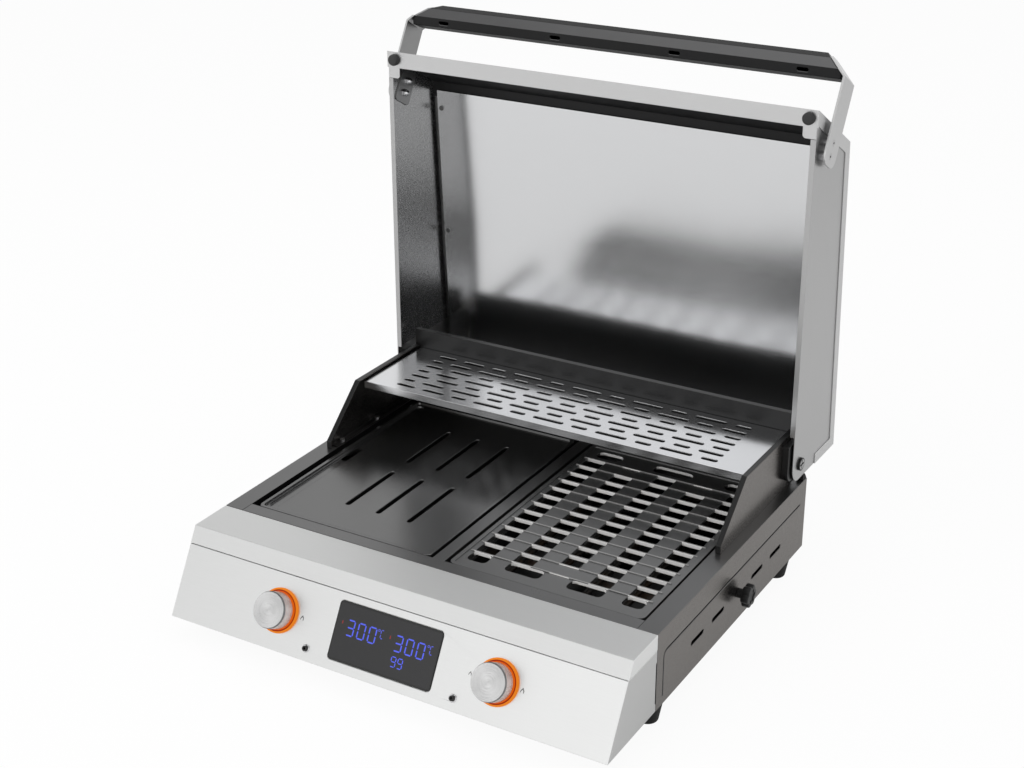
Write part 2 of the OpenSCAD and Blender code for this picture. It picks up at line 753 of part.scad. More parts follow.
module star_knob() translate([0, star_y, star_z]) {
  head = 9;
  face = half_w + star_out;
  lobe = star_r * 0.31;
  difference() {
    union() {
      bar_x(face - head, face, star_r * 0.8);
      for (i = [0:5]) rotate([60 * i, 0, 0]) translate([0, star_r - lobe, 0]) bar_x(face - head, face, lobe);
      bar_x(half_w + 0.3, face - head + 1, star_r * 0.42);
      bar_x(wall_in - 10, half_w + 1, stud_r);
    }
    bar_x(face - 2, face + 1, star_r * 0.42);
  }
}

module star_knob_right() color(rubber) framed() star_knob();

module star_knob_left() color(rubber) framed() mirror([1, 0, 0]) star_knob();

module clamp_nuts() color(bright) framed() both() translate([0, star_y, star_z]) difference() {
  translate([wall_in - 7, 0, 0]) rotate([0, 90, 0]) cylinder(h = 7, r = 6.5, $fn = 6);
  bar_x(wall_in - 8, wall_in + 1, stud_r + run);
}

module power_inlet() color(dark) framed() translate([inlet_x, body_d, inlet_z]) {
  difference() {
    union() {
      span([-inlet_w / 2, -inlet_d, -inlet_h / 2], [inlet_w / 2, 0, inlet_h / 2]);
      span([-inlet_w / 2 - 9, 0, -inlet_h / 2 - 3], [inlet_w / 2 + 9, 2.5, inlet_h / 2 + 3]);
    }
    span([-inlet_w / 2 + 2, -inlet_d + 2, -inlet_h / 2 + 2], [inlet_w / 2 - 2, 3, inlet_h / 2 - 2]);
  }
  for (p = [[-7, -2], [0, 3], [7, -2]])
    translate([p[0], 0, p[1]]) span([-1, -inlet_d + 1, -2], [1, -3, 2]);
}

// Guard and shelf

module guard() difference() {
  union() {
    along_x(guard_x - sheet, guard_x) polygon(guard_outline);
    along_x(guard_x - guard_fold, guard_x) difference() {
      polygon(guard_outline);
      polygon(inset(guard_outline, [-1, -1, sheet, sheet, sheet]));
    }
    span([guard_x - guard_foot, guard_y + 8, z_rim], [guard_x, guard_back_y, z_rim + sheet]);
  }
  guard_screw_places() along_z(z_rim - 1, z_rim + sheet + 1) circle(screw_r + screw_clear);
}

module guard_right() color(black) framed() guard();

module guard_left() color(black) framed() mirror([1, 0, 0]) guard();

module guard_rear() color(black) framed() {
  x = guard_x;
  y = guard_back_y + gap;
  span([-x, y, z_rim], [x, y + sheet, z_rim + guard_rear_h]);
  span([-x, y, z_rim], [x, y + 12, z_rim + sheet]);
  span([-x, y, z_rim + guard_rear_h - sheet], [x, y + 8, z_rim + guard_rear_h]);
}

module shelf_rails() color(black) framed() both() {
  x = guard_x - sheet;
  top = shelf_z - sheet - rest_clear;
  y = [shelf_y0 + rail_ends[0], shelf_y1 - rail_ends[1]];
  span([x - rail_t, y[0], top - rail_h], [x, y[1], top]);
  span([x - rail_w, y[0], top - rail_t], [x, y[1], top]);
}

// Two kinds of rows take turns: long and short slots, with odd lengths where a row starts
slot_long = 41;
slot_short = 20.5;
slot_start = 31;
slot_space = 11.6;
slot_w = 6.5;
slot_pairs = floor((2 * shelf_x - 175) / (slot_long + slot_short + 2 * slot_space));
function slot_run(a, b) = [for (i = [1:slot_pairs]) each [a, b]];
function slot_row(even) = even
  ? concat([15.5, slot_start], slot_run(slot_long, slot_short), [slot_start])
  : concat([26, slot_start], slot_run(slot_short, slot_long), [slot_short]);
function sum(v, n) = n <= 0 ? 0 : v[n - 1] + sum(v, n - 1);

module shelf_slots() for (row = [0:floor((shelf_d - 26) / shelf_row)]) {
  lengths = slot_row(row % 2 == 1);
  count = len(lengths);
  left = -(sum(lengths, count) + (count - 1) * slot_space) / 2;
  for (i = [0:count - 1])
    translate([left + sum(lengths, i) + i * slot_space + lengths[i] / 2, shelf_y0 + 15 + row * shelf_row])
      oval(lengths[i], slot_w);
}

module warming_shelf() color(bright) framed() {
  along_z(shelf_z - sheet, shelf_z) difference() {
    translate([-shelf_x, shelf_y0]) square([2 * shelf_x, shelf_y1 - shelf_y0]);
    shelf_slots();
  }
  span([-shelf_x, shelf_y0, shelf_z - shelf_lip], [shelf_x, shelf_y0 + sheet, shelf_z]);
}

// Hinges

module hinge_brackets() color(black) framed() both() difference() {
  front = bracket_front;
  back = hinge_in - stop_d - 2.5;
  low = hinge_back - 4;
  corner = bracket_corner;
  along_x(guard_x, bracket_out) translate([pivot_y, pivot_z]) {
    translate([-front, -low + corner]) square([front + back, bracket_high + low - corner]);
    translate([-front + corner, -low]) square([front + back - corner, corner + 1]);
    translate([-front + corner, -low + corner]) circle(corner);
  }
  translate([0, pivot_y, pivot_z]) bar_x(guard_x - 1, bracket_out + 1, pin_r + run);
}

module hinge_pins() color("#2b2b2c") framed() both() translate([0, pivot_y, pivot_z]) {
  difference() {
    bar_x(side_out + gap, side_out + gap + 2.6, 2 * pin_r);
    for (a = [0, 90]) rotate([a, 0, 0])
      span([side_out + 1.6, -1.2, -1.5 * pin_r], [side_out + 5, 1.2, 1.5 * pin_r]);
  }
  bar_x(guard_x, side_out + gap + 1, pin_r);
}

module hinge_washers() color("#e8e4da") framed() both() translate([0, pivot_y, pivot_z]) difference() {
  bar_x(bracket_out + gap, bracket_out + gap + washer_t, 2.2 * pin_r);
  bar_x(bracket_out, bracket_out + 4, pin_r + run);
}

module lid_stops() color(rubber) framed() both() {
  top = lid_z - 0.3;
  back = body_d - 1;
  out = half_w - 0.6;
  along_x(out - stop_w, out)
    polygon([[back - stop_d, z_rim], [back, z_rim], [back, z_rim + sheet],
      [back - stop_toe, top], [back - stop_d, top]]);
}

// Lid

inner_profile = inset(lid_profile, lid_sheet * [1, 1, 1, 1]);
flange_profile = inset(lid_profile, lid_flange * [1, 1, 1.15, 0]);

module lid_shell() color(steel) framed() difference() {
  union() {
    // The sheet wrapped over back, top and front, with the front rim folded down
    along_x(-lid_half, lid_half) polygon(lid_points([[lid_gap, 0],
      lid_profile[1], lid_profile[2], lid_profile[3], [0, lid_len - lid_rim],
      [lid_sheet, lid_len - lid_rim], inner_profile[3], inner_profile[2], inner_profile[1],
      [lid_gap, lid_sheet]]));
    // Flanges lapped over the side plates
    both() along_x(side_out, lid_half) polygon(lid_points([[lid_gap, 0],
      lid_profile[1], lid_profile[2], lid_profile[3],
      flange_profile[3], flange_profile[2], flange_profile[1], [lid_gap, lid_flange]]));
    // Corner gussets of the rim
    both() translate([side_out - gap - gusset_w, lid_y + lid_sheet, lid_top - lid_rim - gusset_h])
      rotate([90, 0, 0]) linear_extrude(lid_sheet) {
        translate([gusset_r, 0]) square([gusset_w - gusset_r, gusset_h + 1]);
        translate([0, gusset_r]) square([gusset_w, gusset_h + 1 - gusset_r]);
        translate([gusset_r, gusset_r]) circle(gusset_r);
      }
  }
  both() translate([bumper_x, 0, bumper_z]) bar_y(lid_y - 1, lid_y + lid_sheet + 1, 2.7);
}

module arm_screw_places() for (k = [0, 1]) translate([0,
  lid_y + arm_screw_n + k * arm_screw_gap * sin(front_angle),
  lid_z + arm_screw_u + k * arm_screw_gap * cos(front_angle)]) children();

// Side plate with a lobe round the hinge and a folded rim
module lid_side() difference() {
  behind = lid_sheet + gap;
  rim_end = lid_len - lid_rim - gusset_h - gap;
  plate = inset(lid_profile, behind * [1, 1, 1, 1]);
  union() {
    along_x(side_in, side_out) {
      polygon(lid_points([[0, lobe_r], [lobe_r, lobe_r], [lobe_r, 0], [lid_gap - gap, 0],
        [lid_gap - gap, behind], plate[1], plate[2], plate[3], [behind, rim_end], [0, rim_end]]));
      translate([lid_y + lobe_r, lid_z + lobe_r]) circle(lobe_r);
    }
    span([lid_half - side_rim, lid_y, lid_z + hinge_free], [side_out, lid_y + lid_sheet, lid_z + rim_end]);
  }
  translate([0, pivot_y, pivot_z]) bar_x(side_in - 1, side_out + 1, pin_r + run);
  arm_screw_places() bar_x(side_in - 1, side_out + 1, screw_r + 0.6);
}

module lid_side_right() color(steel) framed() lid_side();

module lid_side_left() color(steel) framed() mirror([1, 0, 0]) lid_side();

// Black sheet inside the front and side walls
lining_out = inset(lid_profile, [hinge_free, liner_gap - 2, lid_sheet + gap, lid_sheet + gap]);
lining_inner = inset(lid_profile,
  [hinge_free, liner_gap - 2, lid_sheet + gap + lining_t, lid_sheet + gap]);

function lining_back(rise, from_front) =
  inset(lid_profile, [hinge_free, liner_gap - 2 + rise, from_front, 0])[2];

module lid_lining() color(dark) framed() difference() {
  union() {
    along_x(-lining_in, lining_in)
      polygon(lid_points([lining_out[3], lining_inner[3], lining_inner[2], lining_out[2]]));
    // Return of the front sheet behind the liner's edge
    along_x(-lining_in, lining_in) polygon(lid_points([lining_back(0, lid_sheet + gap),
      lining_back(0, liner_front + 6), lining_back(lining_t, liner_front + 6),
      lining_back(lining_t, lid_sheet + gap)]));
    both() along_x(lining_in, lining_in + lining_t) polygon(lid_points(lining_out));
  }
  both() arm_screw_places() bar_x(lining_in - 1, lining_in + lining_t + 1, screw_r + 0.6);
}

liner_out = inset(lid_profile, [lid_sheet + 1, liner_gap, liner_front, 0]);
liner_inner = inset(lid_profile,
  [lid_sheet + 1, liner_gap + liner_t, liner_front, 0]);
liner_angle = atan((lid_rear_h - lid_front_h) / (lid_len - lid_lean));

// Places on the liner's visible face, local Z leaving it towards the food
module liner_places() for (x = [-1, 1], t = [0.06, 0.5, 0.94]) {
  p = lid_points(liner_inner);
  at = p[1] + t * (p[2] - p[1]);
  translate([x * (liner_half - 6), at[0], at[1]]) rotate([90 + liner_angle, 0, 0]) children();
}

module lid_liner() color(bright) framed() difference() {
  along_x(-liner_half, liner_half)
    polygon(lid_points([liner_out[1], liner_out[2], liner_inner[2], liner_inner[1]]));
  liner_places() translate([0, 0, -liner_t - 1]) cylinder(h = liner_t + 2, r = screw_r + screw_clear);
}

module liner_screws() color(bright) framed() liner_places() {
  cylinder(h = 1.4, r = 3.2);
  translate([0, 0, -liner_t - 1]) cylinder(h = liner_t + 2, r = screw_r);
  translate([0, 0, lid_sheet - liner_gap - liner_t]) cylinder(h = liner_gap - lid_sheet, r = 4);
}

module lid_bumpers() color(rubber) framed() both() translate([bumper_x, lid_y, bumper_z]) {
  bar_y(-bumper_h, 0, bumper_r);
  bar_y(-1, lid_sheet + 0.5, 2.5);
  bar_y(lid_sheet + gap, lid_sheet + 3, 4);
}

// Handle

// The arm's own frame: origin at the lower screw, X outwards, Z up the arm, Y across it
module on_arm()
  translate([0, lid_y + arm_screw_n, lid_z + arm_screw_u]) rotate([-front_angle, 0, 0]) children();

module handle_arm() on_arm() difference() {
  intersection() {
    // Flat strip with its upper end bent in by 45 degrees
    translate([0, arm_w / 2, 0]) rotate([90, 0, 0]) linear_extrude(arm_w)
      polygon([[arm_in, -arm_foot], [arm_out, -arm_foot], [arm_out, arm_len],
        [arm_out - tab_l, arm_len + tab_l],
        [arm_out - tab_l - arm_t * cos(45), arm_len + tab_l - arm_t * sin(45)],
        [arm_in, arm_len - bend_in]]);
    // Rounded corners at the lower end, and the bar's outline round the bent tab
    along_x(0, arm_out + 1) {
      translate([-arm_w / 2, arm_corner - arm_foot])
        square([arm_w, arm_len - bar_low + bar_section[7][1] + arm_foot - arm_corner]);
      translate([0, arm_len - bar_low]) polygon(bar_points(0.5));
      translate([arm_corner - arm_w / 2, -arm_foot]) square([arm_w - 2 * arm_corner, arm_len]);
      for (s = [-1, 1]) translate([s * (arm_w / 2 - arm_corner), arm_corner - arm_foot]) circle(arm_corner);
    }
  }
  for (k = [0, 1]) translate([0, 0, k * arm_screw_gap]) {
    bar_x(arm_in - 1, arm_out + 1, screw_r + 0.6);
    translate([arm_out - 1.5, 0, 0]) rotate([0, 90, 0])
      cylinder(h = 1.6, r1 = screw_r + 0.6, r2 = screw_r + 2.2);
  }
}

module handle_arms() color(steel) framed() both() handle_arm();

// Section of the bar across the arm: a nose to the front, flats above and below it
bar_section = [[-bar_w / 3, 0], [bar_w / 3, bar_h * 0.09], [bar_w / 2, bar_h / 4],
  [bar_w * 0.47, bar_h * 0.75], [bar_w * 0.28, bar_h * 0.97], [bar_w * 0.06, bar_h],
  [-bar_w * 0.28, bar_h * 0.74], [-bar_w * 0.47, bar_h * 0.31]];
low_flat = bar_section[0] - bar_section[7];
low_middle = (bar_section[0] + bar_section[7]) / 2;
function bar_points(by) = inset(bar_section, [for (p = bar_section) by]);

module handle_bar() color("#2e2e2f") framed() on_arm() translate([0, 0, arm_len - bar_low]) difference() {
  intersection() {
    along_x(-bar_half, bar_half) polygon(bar_points(0));
    translate([0, bar_w, 0]) rotate([90, 0, 0]) linear_extrude(2 * bar_w)
      polygon([[-bar_half, -1], [bar_half, -1], [bar_half, 2 * bar_low],
        [bar_half - bar_h, bar_h + 2 * bar_low], [-bar_half + bar_h, bar_h + 2 * bar_low],
        [-bar_half, 2 * bar_low]]);
  }
  along_x(-bar_half + bar_h + bar_wall, bar_half - bar_h - bar_wall)
    polygon(bar_points(bar_wall));
  for (x = [-3, -1, 1, 3]) translate([x * bar_slot_x, low_middle[0], low_middle[1]])
    rotate([atan2(low_flat[1], low_flat[0]), 0, 0]) along_z(-6, 6) oval(14, 4);
}

module arm_spacers() color(bright) framed() both() arm_screw_places() difference() {
  bar_x(side_out, arm_in, 5);
  bar_x(side_out - 1, arm_in + 1, screw_r + 0.6);
}

nut_plate_t = 1.5;

module arm_screws() color("#77797b") framed() both() arm_screw_places() {
  bar_x(lining_in - nut_plate_t - 5, arm_out - 0.4, screw_r + 0.4);
  translate([arm_out - 1.5, 0, 0]) rotate([0, 90, 0])
    cylinder(h = 1.4, r1 = screw_r + 0.4, r2 = screw_r + 1.8);
}

// Backing plates inside the lid, with the cap nuts of the arms
module arm_nuts() color(bright) framed() both() {
  x = lining_in - nut_plate_t;
  on_arm() difference() {
    along_x(x, lining_in) translate([0, arm_screw_gap / 2]) rounded(arm_w - 6, arm_screw_gap + 26, 5);
    for (k = [0, 1]) translate([0, 0, k * arm_screw_gap]) bar_x(x - 1, lining_in + 1, screw_r + 0.6);
  }
  arm_screw_places() difference() {
    union() {
      translate([x - 3, 0, 0]) rotate([0, 90, 0]) cylinder(h = 3, r = 4.6, $fn = 6);
      translate([x - 3, 0, 0]) intersection() {
        sphere(3.8);
        span([-5, -5, -5], [0, 5, 5]);
      }
    }
    bar_x(x - 5.2, x + 1, screw_r + 0.45);
  }
}

bottom_pan();
side_panel_left();
side_panel_right();
front_rim();
rear_rim();
rear_panel();
bulkhead();
centre_divider();
fireboxes();
heating_element_left();
heating_element_right();
element_supports();
element_terminals();
temperature_sensors();
griddle_plate();
grill_grate();
drip_tray();
tray_rails();
feet();
base_screws();
front_cap();
control_panel();
display_window();
display_module();
display_board();
power_board();
relays();
knob_left();
knob_right();
shaft_left();
shaft_right();
encoders();
light_rings();
probe_sockets();
star_knob_left();
star_knob_right();
clamp_nuts();
power_inlet();
guard_left();
guard_right();
guard_rear();
shelf_rails();
warming_shelf();
hinge_brackets();
hinge_pins();
hinge_washers();
lid_stops();
lid_shell();
lid_side_left();
lid_side_right();
lid_lining();
lid_liner();
liner_screws();
lid_bumpers();
handle_bar();
handle_arms();
arm_spacers();
arm_screws();
arm_nuts();
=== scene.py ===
import json
from math import cos, pi, radians

import bmesh
import bpy
from bpy.props import FloatProperty, FloatVectorProperty, PointerProperty
from mathutils import Matrix, Vector


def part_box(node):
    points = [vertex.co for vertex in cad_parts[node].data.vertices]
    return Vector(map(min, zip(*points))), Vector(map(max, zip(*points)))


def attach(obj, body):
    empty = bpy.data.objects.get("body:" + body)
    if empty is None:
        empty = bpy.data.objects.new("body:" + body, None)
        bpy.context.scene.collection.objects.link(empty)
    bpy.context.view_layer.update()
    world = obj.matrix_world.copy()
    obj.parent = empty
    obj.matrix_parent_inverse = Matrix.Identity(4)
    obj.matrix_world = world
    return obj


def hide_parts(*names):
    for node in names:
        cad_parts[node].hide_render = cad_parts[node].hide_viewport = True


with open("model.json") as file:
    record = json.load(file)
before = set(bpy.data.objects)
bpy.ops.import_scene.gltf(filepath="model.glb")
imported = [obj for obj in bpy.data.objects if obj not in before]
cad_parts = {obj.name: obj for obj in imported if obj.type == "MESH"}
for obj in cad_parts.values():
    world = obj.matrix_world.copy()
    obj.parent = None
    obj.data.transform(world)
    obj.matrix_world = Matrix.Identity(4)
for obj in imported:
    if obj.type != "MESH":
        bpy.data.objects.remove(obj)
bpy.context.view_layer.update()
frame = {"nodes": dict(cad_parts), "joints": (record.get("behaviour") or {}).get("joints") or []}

bl_info = {
    "name": "Two-zone Electric Table Grill",
    "version": (1, 0, 0),
    "blender": (4, 5, 0),
    "location": "3D View > Sidebar > Grill",
    "description": "Finishes and fine pieces of an electric table grill with a hinged lid",
    "category": "Object",
}

MM = 0.001
X = Vector((1, 0, 0))
Y = Vector((0, 1, 0))
UP = Vector((0, 0, 1))
JOINTS = {joint["name"]: joint for joint in frame["joints"]}


def joint_place(name):
    """Where a joint's axis starts and which way it points."""
    return Vector(JOINTS[name]["pos_m"]), Vector(JOINTS[name]["axis"]).normalized()


KNOB_LEFT, PANEL_OUT = joint_place("left_knob_turn")
KNOB_RIGHT = joint_place("right_knob_turn")[0]
KNOBS = (("left", KNOB_LEFT), ("right", KNOB_RIGHT))
PANEL_MIDDLE = (KNOB_LEFT + KNOB_RIGHT) / 2
PANEL_UP = PANEL_OUT.cross(X)


def axes(origin, x, y, z):
    """The matrix of a place with the given axes."""
    turn = Matrix((x, y, z)).transposed().to_4x4()
    return Matrix.Translation(origin) @ turn


def on_panel(x, up, out=0.0):
    """A place on the sloped panel in metres from its middle; local Z leaves the panel."""
    return axes(PANEL_MIDDLE + x * X + up * PANEL_UP + out * PANEL_OUT, X, PANEL_UP, PANEL_OUT)


def on_wall(origin, out):
    """A place on an upright face; local Z leaves the face and local Y points up."""
    return axes(origin, UP.cross(out), UP, out)


# Properties


def length(name, description, default):
    return FloatProperty(name=name, description=description, default=default, min=0, unit="LENGTH")


def colour(name, description, default):
    return FloatVectorProperty(name=name, description=description, default=default, min=0, max=1,
                               size=3, subtype="COLOR")


class GrillSizes(bpy.types.PropertyGroup):
    """Sizes of the fine pieces."""

    knob_radius: length("Knob radius", "Radius of a control knob", 20.7 * MM)
    knob_height: length("Knob height", "Height of a knob's face above the panel", 22 * MM)
    ring_radius: length("Light ring radius", "Outer radius of a knob's light ring", 25.2 * MM)
    digit_height: length("Digit height", "Height of the large digits on the display", 18 * MM)
    sheet_edge: length("Sheet edge", "Rounding along the edges of the sheet metal", 0.45 * MM)
    thin_edge: length("Thin edge", "Rounding along the edges of thin sheet and small hardware", 0.3 * MM)
    cast_edge: length("Cast edge", "Rounding along the edges of the cast plates", 0.8 * MM)


class GrillColours(bpy.types.PropertyGroup):
    """Colours of the finishes."""

    steel: colour("Steel", "Stainless steel of the lid and its handle's arms", (0.66, 0.66, 0.66))
    # Painted shade: the lid's sides take a darker copy of the lid's steel.
    painted_shade_side_steel: colour("Side steel", "Stainless steel of the lid's sides", (0.51, 0.51, 0.51))
    panel: colour("Panel", "Satin steel of the control panel and the cap", (0.87, 0.875, 0.87))
    shelf: colour("Shelf", "Polished steel of the warming shelf", (0.82, 0.825, 0.84))
    liner: colour("Liner", "Satin steel of the lid's liner", (0.74, 0.745, 0.755))
    knob: colour("Knobs", "Turned aluminium of the control knobs", (0.74, 0.74, 0.74))
    coat: colour("Black coat", "Powder coat of the body", (0.007, 0.007, 0.0072))
    plate: colour("Plates", "Non-stick coat of the griddle and the grate", (0.008, 0.008, 0.0078))
    handle: colour("Handle", "Coat of the handle bar", (0.016, 0.016, 0.0163))
    rubber: colour("Rubber", "Feet, stops and star knobs", (0.008, 0.008, 0.008))
    glow: colour("Ring light", "Light of the rings round the knobs", (0.86, 0.235, 0.010))
    digits: colour("Digits", "Light of the display's digits", (0.085, 0.12, 0.87))


def sizes():
    return bpy.context.scene.grill_sizes


def colours():
    return bpy.context.scene.grill_colours


# Shader nodes


class Wire:
    """A socket in a node tree; sums and products of wires add their Math nodes."""

    def __init__(self, nodes, socket):
        self.nodes = nodes
        self.socket = socket

    def _math(self, operation, *values):
        return self.nodes.add("ShaderNodeMath", {"operation": operation}, dict(enumerate(values)))

    def __add__(self, other):
        return self._math("ADD", self, other)

    __radd__ = __add__

    def __sub__(self, other):
        return self._math("SUBTRACT", self, other)

    def __rsub__(self, other):
        return self._math("SUBTRACT", other, self)

    def __mul__(self, other):
        return self._math("MULTIPLY", self, other)

    __rmul__ = __mul__

    def __pow__(self, other):
        return self._math("POWER", self, other)

    def __abs__(self):
        return self._math("ABSOLUTE", self)

    def most(self, other):
        return self._math("MAXIMUM", self, other)

    def sine(self):
        return self._math("SINE", self)

    def angle(self, x):
        """The angle whose tangent is this over x."""
        return self._math("ARCTAN2", self, x)

    def pingpong(self, reach):
        """Up to the reach and back again, over and over."""
        return self._math("PINGPONG", self, reach)

    def ramp(self, low, high):
        """0 below low, 1 above high and a smooth step between."""
        return self.nodes.add("ShaderNodeMapRange", {"interpolation_type": "SMOOTHSTEP"},
                              {0: self, 1: low, 2: high})


class Nodes:
    """A node tree that is being drawn."""

    def __init__(self, tree):
        self.tree = tree
        tree.nodes.clear()

    def add(self, kind, settings=None, inputs=None, out=0):
        """A new node: its settings first, then the values or links of its sockets."""
        node = self.tree.nodes.new(kind)
        for key, value in (settings or {}).items():
            setattr(node, key, value)
        for key, value in (inputs or {}).items():
            if isinstance(value, Wire):
                self.tree.links.new(value.socket, node.inputs[key])
            else:
                node.inputs[key].default_value = value
        return Wire(self, node.outputs[out]) if out is not None else None

    def place(self, location=(0, 0, 0), rotation=(0, 0, 0), scale=(1, 1, 1)):
        """Object coordinates, centred and turned, then stretched by a scale."""
        at = self.add("ShaderNodeTexCoord", out=3)
        if tuple(location) != (0, 0, 0) or tuple(rotation) != (0, 0, 0):
            at = self.add("ShaderNodeMapping", {"vector_type": "TEXTURE"},
                          {0: at, 1: location, 2: rotation})
        if tuple(scale) != (1, 1, 1):
            at = self.add("ShaderNodeVectorMath", {"operation": "MULTIPLY"}, {0: at, 1: scale})
        return at

    def noise(self, at, scale, detail=2.0):
        return self.add("ShaderNodeTexNoise", inputs={"Vector": at, "Scale": scale, "Detail": detail})

    def parts(self, at):
        """X, Y and Z of a vector."""
        node = self.add("ShaderNodeSeparateXYZ", inputs={0: at})
        return [Wire(self, socket) for socket in node.socket.node.outputs]

    def facing(self):
        """X, Y and Z of the surface's own direction."""
        return self.parts(self.add("ShaderNodeTexCoord", out=1))

    def sideways(self):
        """1 on the faces that look left or right, 0 on the others."""
        return abs(self.facing()[0]).ramp(0.6, 0.8)

    def mix(self, factor, first, second):
        """One colour turning into another."""
        def rgba(c):
            return c if isinstance(c, Wire) else (*c, 1)
        return self.add("ShaderNodeMix", {"data_type": "RGBA"},
                        {0: factor, 6: rgba(first), 7: rgba(second)}, out=2)

    def tint(self, colour, factor, low, high):
        """A colour that runs from low times to high times itself."""
        return self.mix(factor, shade(colour, low), shade(colour, high))


class Finish(Nodes):
    """A material of one or more Principled shaders."""

    def __init__(self, name):
        self.material = bpy.data.materials.new(name)
        self.material.use_nodes = True
        super().__init__(self.material.node_tree)

    def bump(self, height, strength, distance):
        return self.add("ShaderNodeBump", inputs={"Strength": strength, "Distance": distance,
                                                  "Height": height})

    def shader(self, sockets):
        """A Principled shader with these sockets; a plain colour gets its alpha."""
        values = {}
        for key, value in sockets.items():
            flat = isinstance(value, (Wire, int, float))
            values[key] = value if flat else (*value, 1)
        return self.add("ShaderNodeBsdfPrincipled", inputs=values)

    def blend(self, factor, first, second):
        """One shader turning into another."""
        return self.add("ShaderNodeMixShader", inputs={0: factor, 1: first, 2: second})

    def output(self, shader):
        """Ends the material with a shader."""
        end = self.tree.nodes.new("ShaderNodeOutputMaterial")
        self.tree.links.new(shader.socket, end.inputs[0])
        return self.material

    def surface(self, sockets):
        """Ends the material with one Principled shader."""
        return self.output(self.shader(sockets))


def shade(colour, times):
    """A colour made darker or lighter."""
    return [min(1, c * times) for c in colour]


def radius_of(x, y):
    """How far a place is from an axis."""
    return (x * x + y * y) ** 0.5


# Coats and enamels

GROOVE_DEPTH = (0.3 * MM, 0.6 * MM)
# How far up the faces of the handle's painted light band look
PAINTED_LIGHT_BAND_LOW = (0.3, 0.5)
PAINTED_LIGHT_BAND_HIGH = (0.86, 0.93)
RIM_WIDE = (6 * MM, 7 * MM)
RIDGE_RISE = 1.2 * MM
RIDGE_COLUMNS = 5
WALL_DEPTH = 4.9 * MM
OPENING_HALF = 12.25 * MM
# Near white of the grate's painted highlights
PAINTED_HIGHLIGHT_GREY = (0.95, 0.94, 0.92)


def powder_sockets(f, colour, rough, index, tint=(1, 1, 1)):
    """Satin powder coat: fine orange peel and a slight cloudiness."""
    at = f.place()
    peel = f.noise(at, 1500, 3)
    cloud = f.noise(at, 14, 3)
    return {
        "Base Color": f.tint(colour, cloud, 0.85, 1.18),
        "Roughness": rough + 0.10 * (peel - 0.5) + 0.08 * (cloud - 0.5),
        "IOR": index,
        "Specular Tint": tint,
        "Normal": f.bump(peel, 0.10, 0.0002),
    }


def powder_coat(name, colour, rough, index):
    """Powder coat of one gloss."""
    f = Finish(name)
    return f.surface(powder_sockets(f, colour, rough, index))


def side_coat(name, colour, index, fold_index, face=0):
    """Powder coat, glossier on the faces that look sideways than on the folds between them.

    Where the X of the outer face is given, a groove in it stays black.
    """
    f = Finish(name)
    gloss = f.shader(powder_sockets(f, colour, 0.27, index, (1, 0.93, 0.87)))
    matt = f.shader(powder_sockets(f, colour, 0.34, fold_index))
    aside = f.sideways()
    coat = f.blend(aside, matt, gloss)
    if face:
        sunk = aside * (face - abs(f.parts(f.place())[0])).ramp(*GROOVE_DEPTH)
        coat = f.blend(sunk, coat, f.shader(powder_sockets(f, colour, 0.6, 1.1)))
    return f.output(coat)


def grip_coat(name, colour):
    """The handle's coat: a painted light band along the front, four times lighter and satin, soft and
    black above and below it.
    """
    f = Finish(name)
    # Painted light: the faces that look front and up take a lit copy of the coat.
    painted_lit_satin = f.shader(powder_sockets(f, shade(colour, 4), 0.35, 1.7))
    soft = f.shader(powder_sockets(f, colour, 0.55, 1.25))
    up = f.facing()[2]
    painted_light_band = up.ramp(*PAINTED_LIGHT_BAND_LOW) * (1 - up.ramp(*PAINTED_LIGHT_BAND_HIGH))
    return f.output(f.blend(painted_light_band, soft, painted_lit_satin))


def enamel_sockets(f, colour, rough, index):
    """Black enamel with a fine grain in its gloss."""
    at = f.place()
    grain = f.noise(at, 900, 2)
    fleck = f.noise(at, 2600, 1)
    return {
        "Base Color": f.tint(colour, fleck, 0.5, 1.9),
        "Roughness": rough + 0.16 * (grain - 0.5),
        "IOR": index,
        "Normal": f.bump(grain, 0.20, 0.0003),
    }


def enamel(name, colour, rough, index):
    """Enamel of one gloss."""
    f = Finish(name)
    return f.surface(enamel_sockets(f, colour, rough, index))


def lining_enamel(name, colour):
    """The lid's enamel: glossy on the side walls, matt on the wall between them."""
    f = Finish(name)
    gloss = f.shader(enamel_sockets(f, colour, 0.26, 5.0))
    matt = f.shader(enamel_sockets(f, colour, 0.55, 1.4))
    return f.output(f.blend(f.sideways(), matt, gloss))


def plate_coat(name, colour, rough, index):
    """Non-stick coat on cast metal: fine flecks, a soft cast texture, small changes of gloss."""
    f = Finish(name)
    at = f.place()
    fleck = f.noise(at, 1900, 2)
    cast = f.noise(at, 420, 3)
    cloud = f.noise(at, 11, 3)
    return f.surface({
        "Base Color": f.tint(colour, fleck, 0.55, 1.6),
        "Roughness": rough + 0.10 * (cloud - 0.5) + 0.10 * (fleck - 0.5),
        "IOR": index,
        "Normal": f.bump(cast + 0.5 * fleck, 0.10, 0.0003),
    })


